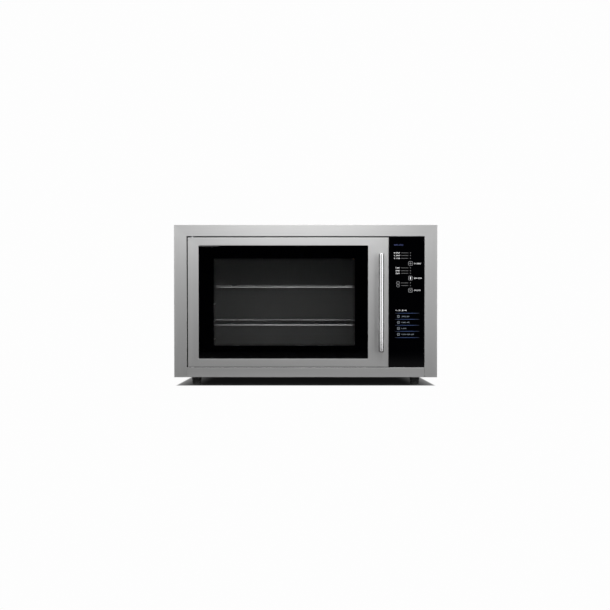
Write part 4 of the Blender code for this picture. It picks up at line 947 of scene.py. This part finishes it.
def screw_tree():
    """Cross-recessed pan heads that stand on points and face along -Y or +Y."""
    group, sizes, result = geometry_tree("pan_head_screws", Head=0.007, Rise=0.0016, Facing=1.0)
    head, rise = sizes["Head"], sizes["Rise"]
    ball = first(group, "GeometryNodeMeshUVSphere", {"Segments": 20, "Rings": 10,
                                                     "Radius": times(group, head, 0.5)})
    squeeze = maths(group, "DIVIDE", times(group, rise, 2.0), head)
    dome = moved(group, ball, Scale=combined(group, 1.0, 1.0, squeeze))
    crossed = node(group, "GeometryNodeMeshBoolean", {"Mesh 1": dome}, operation="DIFFERENCE")
    long_way, short_way = times(group, head, 0.52), times(group, head, 0.13)
    for x, y in ((long_way, short_way), (short_way, long_way)):
        size = combined(group, x, y, times(group, rise, 1.1))
        bar = moved(group, first(group, "GeometryNodeMeshCube", {"Size": size}),
                    Translation=combined(group, z=rise))
        group.links.new(bar, crossed.inputs["Mesh 2"])
    turn = combined(group, times(group, sizes["Facing"], math.pi / 2))
    heads = stamped(group, sizes["Geometry"], crossed.outputs[0], Rotation=turn)
    return end_tree(group, sizes, result, heads)


SCREWS = screw_tree()
low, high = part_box("back_cover")
columns, rows = ((low[axis] + COVER_SCREW_INSET, (low[axis] + high[axis]) / 2,
                  high[axis] - COVER_SCREW_INSET) for axis in (0, 2))
places = [(x, high.y, z) for x in columns for z in rows if not (x == columns[1] and z == rows[1])]
settle(grow("back_screws", SCREWS, zinc, places, Facing=-1.0), "cabinet", slot="plated_sheet")

low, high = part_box("door_liner")
inset_x, inset_z = LINER_SCREW_INSET
places = [(x, high.y, z) for x in (low.x + inset_x, high.x - inset_x)
          for z in (low.z + inset_z, high.z - inset_z)]
settle(grow("liner_screws", SCREWS, zinc, places, Head=0.006, Rise=0.0012, Facing=-1.0), "door",
       slot="plated_sheet")

# %% [markdown]
# ## The door
# The door's front is a folded steel tray with a rectangular hole, and a rolled lip goes round
# the glass. It is brushed as the cabinet is, upright on its stiles and level on its rails, so
# the same cut gives it four mitres. The lip takes the wide fold too, in the lighter steel of
# the folds: a painted highlight that makes the bright line framing the window.

# %% Door shell and inner panel
LIP = 0.004
LIP_REACH = 0.003
LIP_X = (PANE_LOW.x + LIP, PANE_HIGH.x - LIP)
LIP_Z = (PANE_LOW.z + LIP, PANE_HIGH.z - LIP)
DOOR_X = (DOOR_LOW.x, DOOR_HIGH.x)
DOOR_Z = (DOOR_LOW.z, DOOR_HIGH.z)


def in_rail(x, z):
    """True where a place on the door's face lies between the mitres of a rail."""
    for side_x, lip_x in zip(DOOR_X, LIP_X):
        for side_z, lip_z in zip(DOOR_Z, LIP_Z):
            share_x = (x - lip_x) / (side_x - lip_x)
            share_z = (z - lip_z) / (side_z - lip_z)
            if share_x > 0 and share_z > 0:
                return share_z > share_x
    return not LIP_Z[0] < z < LIP_Z[1]


def at_lip(place):
    return (LIP_X[0] - LIP_REACH < place.x < LIP_X[1] + LIP_REACH
            and LIP_Z[0] - LIP_REACH < place.z < LIP_Z[1] + LIP_REACH)


work = merged_copy("door_frame")
cut_mitres(work, [(x, z) for x in DOOR_X for z in DOOR_Z], [(x, z) for x in LIP_X for z in LIP_Z],
           FRONT_Y)
level_where(work, lambda n, c: abs(n.z) > FACING or (n.y < -FACING and in_rail(c.x, c.z)))
mark_folds(work, lambda e: all(near(v.co.y, FRONT_Y) for v in e.verts)
           and (e.calc_length() > LONG or all(at_lip(v.co) for v in e.verts)))
shell = piece_from(work, "door_shell", steel_upright, steel_level, fold_highlight_steel)
settle(soften(shell, EDGE_RADIUS, fold=PLAIN_FOLD, fold_highlight_finish=EDGE), "door", "door_frame")
softened_copy("door_liner", "door_inner_panel", liner_steel, EDGE_RADIUS, "door")

# %% [markdown]
# ## The window
# The window is two panes with air between them. A black border is fired on the back of the
# outer pane to hide the frame behind it. It could be a dark part of the glass's own material,
# but then it would lie on the front. As a thin layer behind the glass, a closed frame between
# two rounded rectangles, it has the depth of the pane in front of it when seen at an angle.

# %% Panes and border
PANE_EDGE = 0.0004
BORDER_LEFT = 0.0335
BORDER = 0.029
INK_MARGIN = 0.001
INK_GAP = 0.00005
INK_THICKNESS = 0.00012
INK_CORNER = 0.001
CLEAR_CORNER = 0.004
CLEAR_X = (LIP_X[0] + BORDER_LEFT, LIP_X[1] - BORDER)
CLEAR_Z = (LIP_Z[0] + BORDER, LIP_Z[1] - BORDER)
INK_Y = PANE_HIGH.y + INK_GAP


def rounded_ring(work, x, z, radius, y, steps=6):
    """The corners of an upright rectangle with rounded corners, as vertices in order."""
    ring = []
    centres = ((x[1] - radius, z[1] - radius), (x[0] + radius, z[1] - radius),
               (x[0] + radius, z[0] + radius), (x[1] - radius, z[0] + radius))
    for turn, (cx, cz) in enumerate(centres):
        for step in range(steps + 1):
            angle = math.pi / 2 * (turn + step / steps)
            ring.append(work.verts.new((cx + radius * math.cos(angle), y,
                                        cz + radius * math.sin(angle))))
    return ring


def bridge(work, rings):
    """Join each ring of vertices to the next one."""
    for here, there in zip(rings, rings[1:]):
        for step in range(len(here)):
            after = (step + 1) % len(here)
            work.faces.new((here[step], here[after], there[after], there[step]))


softened_copy("door_glass_outer", "outer_pane", pane_glass, PANE_EDGE, "door")
softened_copy("door_glass_inner", "inner_pane", pane_glass, PANE_EDGE, "door")

work = bmesh.new()
outside = ((PANE_LOW.x + INK_MARGIN, PANE_HIGH.x - INK_MARGIN),
           (PANE_LOW.z + INK_MARGIN, PANE_HIGH.z - INK_MARGIN), INK_CORNER)
inside = (CLEAR_X, CLEAR_Z, CLEAR_CORNER)
rings = [rounded_ring(work, *edge, INK_Y + rise) for edge, rise in
         ((outside, 0.0), (inside, 0.0), (inside, INK_THICKNESS), (outside, INK_THICKNESS))]
bridge(work, rings + rings[:1])
bmesh.ops.recalc_face_normals(work, faces=work.faces)
settle(piece_from(work, "window_border", ceramic_ink), "door", slot="clear_glass")

# %% [markdown]
# ## Dots along the border
# The inner edge of the ink is not a hard line. It breaks up into dots that shrink towards the
# middle, so that the heat at the edge doesn't crack the glass. A grid of discs does it: each
# disc takes its size from how far it lies from the nearest side.

# %% Dots along the border
def dot_tree():
    """Dots on a grid round the inside of a window, smaller with each row."""
    group, sizes, result = geometry_tree("border_dots", Width=0.3, Height=0.2, Pitch=0.0018,
                                         Rows=4, Largest=0.0008)
    counts = [first(group, "FunctionNodeFloatToInt",
                    {0: maths(group, "DIVIDE", sizes[side], sizes["Pitch"])},
                    rounding_mode="FLOOR") for side in ("Width", "Height")]
    grid = first(group, "GeometryNodeMeshGrid", {"Size X": sizes["Width"],
                                                 "Size Y": sizes["Height"],
                                                 "Vertices X": counts[0],
                                                 "Vertices Y": counts[1]})
    place = axes(group, first(group, "GeometryNodeInputPosition"))
    gaps = [maths(group, "SUBTRACT", times(group, sizes[side], 0.5),
                  maths(group, "ABSOLUTE", place[axis]))
            for axis, side in ((0, "Width"), (1, "Height"))]
    gap = maths(group, "MINIMUM", *gaps)
    reach = times(group, sizes["Pitch"], sizes["Rows"])
    largest = sizes["Largest"]
    size = ramp(group, gap, 0.0, reach, largest, times(group, largest, 0.2))
    close = first(group, "FunctionNodeCompare", {0: gap, 1: reach}, data_type="FLOAT",
                  operation="LESS_THAN")
    disc = first(group, "GeometryNodeMeshCircle", {"Vertices": 8, "Radius": 1.0},
                 fill_type="NGON")
    dots = stamped(group, grid, disc, Selection=close, Scale=size)
    upright = moved(group, dots, Rotation=ON_EDGE)
    return end_tree(group, sizes, result, stamped(group, sizes["Geometry"], upright))


DOTS = dot_tree()
centre = (sum(CLEAR_X) / 2, INK_Y, sum(CLEAR_Z) / 2)
settle(grow("border_dots", DOTS, ceramic_ink, [centre], Width=CLEAR_X[1] - CLEAR_X[0],
            Height=CLEAR_Z[1] - CLEAR_Z[0]), "door", slot="clear_glass")

# %% [markdown]
# ## Seal
# The seal is a soft rubber ring on the back of the door. A swept tube would do, but a copy of
# the construction piece lies just where the door holds it. Its edges are rounded until its
# section is almost an oval, which is how a hollow extrusion looks.

# %% Seal
SEAL_EDGE = 0.0014
softened_copy("door_seal", "door_gasket", seal_rubber, SEAL_EDGE, "door", segments=4)

# %% [markdown]
# ## Wire racks
# A rack is one rod bent into a round-cornered loop, with thinner wires welded across it. That
# is a rule, so one tree with eight sizes makes both racks. Rod and wire are a little thinner
# here than in the construction model, as the photograph shows them, and the wires sink into
# the rod as a weld lets them.

# %% Racks
RACK_ROD = 0.0038
RACK_WIRE = 0.0028
END_INSET = 0.01005


def rack_tree():
    """A rod loop with straight wires laid across it from front to back."""
    group, sizes, result = geometry_tree("wire_rack", Width=0.38, Depth=0.3, Corner=0.012,
                                         Rod=0.005, Wire=0.0032, Wires=8, End_Inset=0.01,
                                         Sink=0.0008)
    outline = first(group, "GeometryNodeCurvePrimitiveQuadrilateral", {"Width": sizes["Width"],
                                                                       "Height": sizes["Depth"]})
    loop = swept(group, filleted(group, outline, sizes["Corner"], 6),
                 round_section(group, sizes["Rod"], 16))
    half = times(group, maths(group, "ADD", sizes["Depth"], sizes["Rod"]), 0.5)
    path = first(group, "GeometryNodeCurvePrimitiveLine", {
        "Start": combined(group, y=times(group, half, -1.0)), "End": combined(group, y=half)})
    wire = swept(group, path, round_section(group, sizes["Wire"], 12), caps=True)
    span = maths(group, "SUBTRACT", sizes["Width"], times(group, sizes["End Inset"], 2.0))
    rise = times(group, maths(group, "ADD", sizes["Rod"], sizes["Wire"]), 0.5)
    rise = maths(group, "SUBTRACT", rise, sizes["Sink"])
    ends = [combined(group, times(group, span, share), z=rise) for share in (-0.5, 0.5)]
    line = first(group, "GeometryNodeMeshLine", {"Count": sizes["Wires"], "Offset": ends[1],
                                                 "Start Location": ends[0]}, mode="END_POINTS")
    whole = joined(group, loop, stamped(group, line, wire))
    return end_tree(group, sizes, result, stamped(group, sizes["Geometry"], whole))


RACKS = rack_tree()
for name, body in (("upper_rack", "rack_upper"), ("lower_rack", "rack_lower")):
    low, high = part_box(name)
    place = ((low.x + high.x) / 2, (low.y + high.y) / 2, low.z + RACK_ROD / 2)
    rack = grow(name + "_wires", RACKS, chrome_wire, [place], Width=high.x - low.x - RACK_ROD,
                Depth=high.y - low.y - RACK_ROD, Rod=RACK_ROD, Wire=RACK_WIRE,
                End_Inset=END_INSET)
    settle(rack, body, name)

# %% [markdown]
# ## Heating elements
# An element is a sheathed rod bent into a U. A ring of the rod could be extruded round the
# bends by hand, and would pinch there. A tree takes the centre line as a chain of points,
# rounds the bends, and sweeps a circle along it, which keeps the section even.

# %% Heating elements
SHEATH = 0.0065


def rod_tree():
    """A round rod that follows a chain of points, with rounded bends."""
    group, sizes, result = geometry_tree("bent_rod", Diameter=0.0065, Bend=0.022)
    chain = first(group, "GeometryNodeMeshToCurve", {"Mesh": sizes["Geometry"]})
    rod = swept(group, filleted(group, chain, sizes["Bend"], 10),
                round_section(group, sizes["Diameter"], 20), caps=True)
    return end_tree(group, sizes, result, rod)


RODS = rod_tree()
for name in ("upper_element", "lower_element"):
    low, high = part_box(name)
    z = (low.z + high.z) / 2
    near_y, far_y = low.y + SHEATH / 2, high.y - SHEATH / 2
    turn_x = low.x + SHEATH / 2
    chain = [(high.x, near_y, z), (turn_x, near_y, z), (turn_x, far_y, z), (high.x, far_y, z)]
    element = grow(name + "_rod", RODS, oxide, chain, edges=[(0, 1), (1, 2), (2, 3)],
                   Diameter=SHEATH)
    settle(element, "cabinet", name)

# %% [markdown]
# ## The handle
# The handle is a polished bar on two short turned posts. A cylinder with a bevel comes close,
# but a lathe leaves more than that: the bar's ends are slightly crowned and its edges broken,
# and each post has a collar at the door and a thinner neck. So each piece is turned from its
# outline. One more ring near each end of the bar keeps the shading of its long part even.

# %% Handle
# How far each ring of the crown lies from the end, and its radius as a share of the bar's.
CROWN = ((0.0, 0.55), (0.00015, 0.78), (0.0005, 0.90), (0.0011, 0.97), (0.0020, 1.0),
         (0.0028, 1.0))
POST_STEP = 0.0009
POST_EDGE = 0.0005
POST_COLLAR = 0.0030
POST_NECK = 0.0038
BAR_SIDES = 96
POST_SIDES = 48
TURNED_SHARP = math.radians(32.0)


def turned(name, axis, middle, profile, material, sides):
    """A round piece from (radius, distance along the axis) pairs, closed at both ends."""
    work = bmesh.new()
    turn = {"Z": Matrix.Identity(3), "Y": Matrix.Rotation(-math.pi / 2, 3, "X")}[axis]
    angles = [2 * math.pi * step / sides for step in range(sides)]
    rings = [[work.verts.new(Vector(middle) + turn @ Vector((
        radius * math.cos(angle), radius * math.sin(angle), distance))) for angle in angles]
        for radius, distance in profile]
    bridge(work, rings)
    work.faces.new(list(reversed(rings[0])))
    work.faces.new(rings[-1])
    bmesh.ops.recalc_face_normals(work, faces=work.faces)
    item = piece_from(work, name, material)
    item.data.shade_smooth()
    item.data.set_sharp_from_angle(angle=TURNED_SHARP)
    return item


low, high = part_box("handle_bar")
radius, half = (high.x - low.x) / 2, (high.z - low.z) / 2
crown = [(radius * share, half - inset) for inset, share in CROWN]
bar = turned("handle_grip", "Z", (low + high) / 2,
             [(r, -z) for r, z in crown] + list(reversed(crown)), polished_steel, BAR_SIDES)
settle(bar, "door", "handle_bar")

for which in ("upper", "lower"):
    low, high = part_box("handle_post_" + which)
    radius = (high.x - low.x) / 2
    middle = Vector(((low.x + high.x) / 2, 0.0, (low.z + high.z) / 2))
    stem = radius - POST_STEP
    outline = [(radius - POST_EDGE, high.y), (radius, high.y - POST_EDGE),
               (radius, high.y - POST_COLLAR), (stem, high.y - POST_NECK),
               (stem, low.y + POST_COLLAR), (stem, low.y)]
    post = turned("handle_stand_" + which, "Y", middle, outline, polished_steel, POST_SIDES)
    settle(post, "door", "handle_post_" + which)

# %% [markdown]
# ## Feet
# Each foot is a moulded rubber stub with a fine groove round it, above its sole. The
# construction piece has that groove, so a copy with softly rounded edges is all that it needs.

# %% Feet
FOOT_EDGE = 0.0005
for which in ("front_left", "front_right", "rear_left", "rear_right"):
    softened_copy("foot_" + which, "rubber_foot_" + which, foot_rubber, FOOT_EDGE, "cabinet")

# %% [markdown]
# ## The control panel
# The panel is one sheet of black glass. Its marks are printed on the glass: numbers beside
# thin leader lines that end at small lamps, round touch places, and a block of numbered
# rows between blue lines. Every ink is also given a little emission, a painted glow, and the
# blue lines fade out towards both ends. An image could carry all of it, but would blur close
# up. Every mark is a flat mesh that lies a hair in front of the glass, so each keeps its edge.

# %% Panel glass and inks
PANEL_EDGE = 0.0006
INK_RISE = 0.00006
BLUE_LINE_X = (0.2002, 0.2551)

softened_copy("control_glass", "panel_face", panel_glass, PANEL_EDGE, "cabinet", segments=3)
MARK_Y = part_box("control_glass")[0].y - INK_RISE


def give_painted_glow(tree, mask, share, colour, shader, glow):
    """Let a mask dim an ink and its painted glow alike."""
    tint(tree, mask, tuple(value * share for value in colour), colour,
         shader.inputs["Base Color"], shader.inputs["Emission Color"])
    shader.inputs["Emission Strength"].default_value = glow


def panel_ink(name, colour, glow):
    """Printed ink with a little painted glow, uneven as screen printing is."""
    material, tree, shader, place = finish(name, colour, 0.55)
    grain = effect(tree, FINE_GRAIN, place, Grain_Scale=2600.0, Mottle_Scale=900.0)
    give_painted_glow(tree, grain["Mottle"], 0.8, colour, shader, glow)
    return material


def fading_blue(name, colour, glow):
    """Blue that fades out towards both ends of a line."""
    material, tree, shader, place = finish(name, colour, 0.5)
    low_x, high_x = BLUE_LINE_X
    along = maths(tree, "SUBTRACT", axes(tree, place)["X"], (low_x + high_x) / 2)
    fade = ramp(tree, maths(tree, "ABSOLUTE", along), (high_x - low_x) / 2, (high_x - low_x) / 5)
    give_painted_glow(tree, fade, 0.05, colour, shader, glow)
    return material


# Each ink is given a little emission: a painted glow.
pale_ink = panel_ink("pale_ink", (0.80, 0.80, 0.81), 0.9)
mid_ink = panel_ink("mid_ink", (0.30, 0.30, 0.31), 0.4)
soft_ink = panel_ink("soft_ink", (0.24, 0.28, 0.32), 0.5)
dim_ink = panel_ink("dim_ink", (0.15, 0.15, 0.15), 0.3)
blue_ink = panel_ink("blue_ink", (0.035, 0.05, 0.16), 0.35)
line_blue = fading_blue("line_blue", (0.025, 0.05, 0.14), 0.6)
print("Inks", *(ink.name for ink in (pale_ink, mid_ink, soft_ink, dim_ink, blue_ink, line_blue)))

# %% [markdown]
# ## Numbers on the panel
# The panel shows temperatures and minutes. Digits could be drawn from strokes, but the plain
# built-in face is even and needs no file. Each word is set in it, turned into a flat mesh, and
# stretched to the width and height of its mark.

# %% Panel numbers
def write(work, words, x, z, width, height=0.0027):
    """Add flat lettering to a mesh, from a left edge and a middle height, at a set width."""
    curve = bpy.data.curves.new("lettering", "FONT")
    curve.body = words
    curve.resolution_u = 3
    text = bpy.data.objects.new("lettering", curve)
    scene.collection.objects.link(text)
    bpy.context.view_layer.update()
    graph = bpy.context.evaluated_depsgraph_get()
    flat = bpy.data.meshes.new_from_object(text.evaluated_get(graph))
    xs = [v.co.x for v in flat.vertices]
    ys = [v.co.y for v in flat.vertices]
    middle = (min(ys) + max(ys)) / 2
    for v in flat.vertices:
        v.co = ((v.co.x - min(xs)) * width / (max(xs) - min(xs)) + x, MARK_Y,
                (v.co.y - middle) * height / (max(ys) - min(ys)) + z)
    work.from_mesh(flat)
    bpy.data.objects.remove(text, do_unlink=True)
    bpy.data.curves.remove(curve)
    bpy.data.meshes.remove(flat)


# Words, left edge, middle height, width, and a height where it isn't the usual one.
PALE_WORDS = (
    ("8 250", 0.1977, 0.2971, 0.0131), ("6 200", 0.1977, 0.2911, 0.0131),
    ("4 150", 0.1977, 0.2848, 0.0131), ("120", 0.2020, 0.2635, 0.0083),
    ("090", 0.2020, 0.2570, 0.0083), ("060", 0.2020, 0.2512, 0.0083),
    ("0-250", 0.2428, 0.2732, 0.0148), ("50-250", 0.2428, 0.2404, 0.0172),
    ("ON/OFF", 0.2428, 0.2131, 0.0148), ("1-2-3-4", 0.2020, 0.1683, 0.0242, 0.0026))
ROW_WORDS = (
    ("200-30", 0.2150, 0.1546, 0.0170, 0.0024), ("180-45", 0.2150, 0.1412, 0.0177, 0.0024),
    ("160", 0.2150, 0.1277, 0.0105, 0.0024), ("100-60-30", 0.2150, 0.1143, 0.0278, 0.0024))
CLOCK_WORDS = (("00:00", 0.1977, 0.3148, 0.0207, 0.0036),)

for name, ink, marks in (("panel_numbers", pale_ink, PALE_WORDS),
                         ("row_numbers", soft_ink, ROW_WORDS),
                         ("panel_clock", blue_ink, CLOCK_WORDS)):
    work = bmesh.new()
    for mark in marks:
        write(work, *mark)
    settle(piece_from(work, name, ink), "cabinet", slot="black_glass")

# %% [markdown]
# ## Leader lines, touch places and numbered squares
# Lines, rings and squares repeat down the panel, so two trees grow them on points: one gives
# a line with a small lamp beyond its end, the other an outline that is a circle when its
# corners are as round as it is wide.

# %% Trees for the panel's marks
def leader_tree():
    """A thin line from each point, with a small lamp beyond its end."""
    group, sizes, result = geometry_tree("leader_lines", Length=0.0161, Thickness=0.0009,
                                         Gap=0.0049, Lamp=0.0021)
    bar = first(group, "GeometryNodeMeshGrid", {"Size X": sizes["Length"],
                                                "Size Y": sizes["Thickness"],
                                                "Vertices X": 2, "Vertices Y": 2})
    line = moved(group, bar, Translation=combined(group, times(group, sizes["Length"], 0.5)))
    disc = first(group, "GeometryNodeMeshCircle", {
        "Vertices": 16, "Radius": times(group, sizes["Lamp"], 0.5)}, fill_type="NGON")
    beyond = maths(group, "ADD", sizes["Length"], sizes["Gap"])
    dot = moved(group, disc, Translation=combined(group, beyond))
    placed = stamped(group, sizes["Geometry"], joined(group, line, dot), Rotation=ON_EDGE)
    return end_tree(group, sizes, result, placed)


def outline_tree():
    """A thin outline round each point: a circle, or a square with rounded corners."""
    group, sizes, result = geometry_tree("mark_outlines", Size=0.011, Corner=0.0055,
                                         Thickness=0.0005)
    square = first(group, "GeometryNodeCurvePrimitiveQuadrilateral", {"Width": sizes["Size"],
                                                                      "Height": sizes["Size"]})
    shape = filleted(group, square, sizes["Corner"], 12, **{"Limit Radius": True})
    stroke = first(group, "GeometryNodeCurvePrimitiveLine", {"Start": (-0.5, 0.0, 0.0),
                                                             "End": (0.5, 0.0, 0.0)})
    stroke = moved(group, stroke, Scale=combined(group, sizes["Thickness"], 1.0, 1.0))
    placed = stamped(group, sizes["Geometry"], swept(group, shape, stroke), Rotation=ON_EDGE)
    return end_tree(group, sizes, result, placed)


LEADERS = leader_tree()
OUTLINES = outline_tree()
print("Trees", LEADERS.name, "and", OUTLINES.name)

# %% [markdown]
# ## The marks in their columns
# The marks stand in columns down the panel, so a column is one place across and a list of
# heights. Each kind of mark is grown from its column with sizes of its own.

# %% Leader lines, touch rings and numbered squares
def column(x, *heights):
    return [(x, MARK_Y, z) for z in heights]


leaders = column(0.2137, 0.2971, 0.2911, 0.2848, 0.2635, 0.2570, 0.2512, 0.2299, 0.2237)
keys = column(0.2349, 0.2732, 0.2404, 0.2131)
small = column(0.2069, 0.2299, 0.2237)
squares = column(0.2081, 0.1546, 0.1412, 0.1277, 0.1143)
for name, group, ink, points, sizes in (
        ("leader_lines", LEADERS, dim_ink, leaders, {}),
        ("touch_keys", OUTLINES, mid_ink, keys, {"Size": 0.0092, "Corner": 0.0028,
                                                 "Thickness": 0.0007}),
        ("small_rings", OUTLINES, mid_ink, small, {"Size": 0.0066, "Corner": 0.0033,
                                                   "Thickness": 0.0007}),
        ("row_squares", OUTLINES, soft_ink, squares, {"Size": 0.0050, "Corner": 0.0010,
                                                      "Thickness": 0.0006})):
    settle(grow(name, group, ink, points, **sizes), "cabinet", slot="black_glass")

# %% [markdown]
# ## Signs inside the keys
# The keys carry signs that need no words: a plus, an upright bar, and a cross. A sign face
# could be looked for, but these are only bars from point to point, and so are the small marks
# in the rings and squares and the long blue lines between the rows.

# %% Signs inside the keys
BLUE_LINES_Z = (0.1618, 0.1481, 0.1347, 0.1212, 0.1071)
BLUE_BAR = ((0.2006, 0.0), (0.2547, 0.0))


def strokes(work, centre, thickness, *bars):
    """Add flat bars round a centre, each between two points (x, z) measured from it."""
    for (x0, z0), (x1, z1) in bars:
        along = Vector((x1 - x0, 0.0, z1 - z0)).normalized() * thickness / 2
        side = Vector((-along.z, 0.0, along.x))
        start = Vector((centre[0] + x0, MARK_Y, centre[2] + z0)) - along
        end = Vector((centre[0] + x1, MARK_Y, centre[2] + z1)) + along
        work.faces.new([work.verts.new(point) for point in
                        (start - side, end - side, end + side, start + side)])


work = bmesh.new()
strokes(work, keys[0], 0.0007, ((-0.0028, 0.0), (0.0028, 0.0)), ((0.0, -0.0028), (0.0, 0.0028)))
strokes(work, keys[2], 0.0008, ((-0.0023, -0.0023), (0.0023, 0.0023)),
        ((-0.0023, 0.0023), (0.0023, -0.0023)))
for centre in small:
    strokes(work, centre, 0.0005, ((-0.0011, 0.0), (0.0011, 0.0)))
for centre in squares:
    strokes(work, centre, 0.0004, *(((-0.0016, z), (0.0016, z)) for z in (0.0009, -0.0009)))
settle(piece_from(work, "key_signs", mid_ink), "cabinet", slot="black_glass")

work = bmesh.new()
strokes(work, keys[1], 0.0019, ((0.0, -0.0020), (0.0, 0.0020)))
settle(piece_from(work, "level_sign", pale_ink), "cabinet", slot="black_glass")

work = bmesh.new()
for z in BLUE_LINES_Z:
    strokes(work, (0.0, MARK_Y, z), 0.0009, BLUE_BAR)
settle(piece_from(work, "blue_lines", line_blue), "cabinet", slot="black_glass")

# %% [markdown]
# ## Size
# The dressed oven must stay the size of its construction model, so its size is printed at the
# end.

# %% Print the size
low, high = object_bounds()
print("Size", [round(v, 4) for v in high - low])
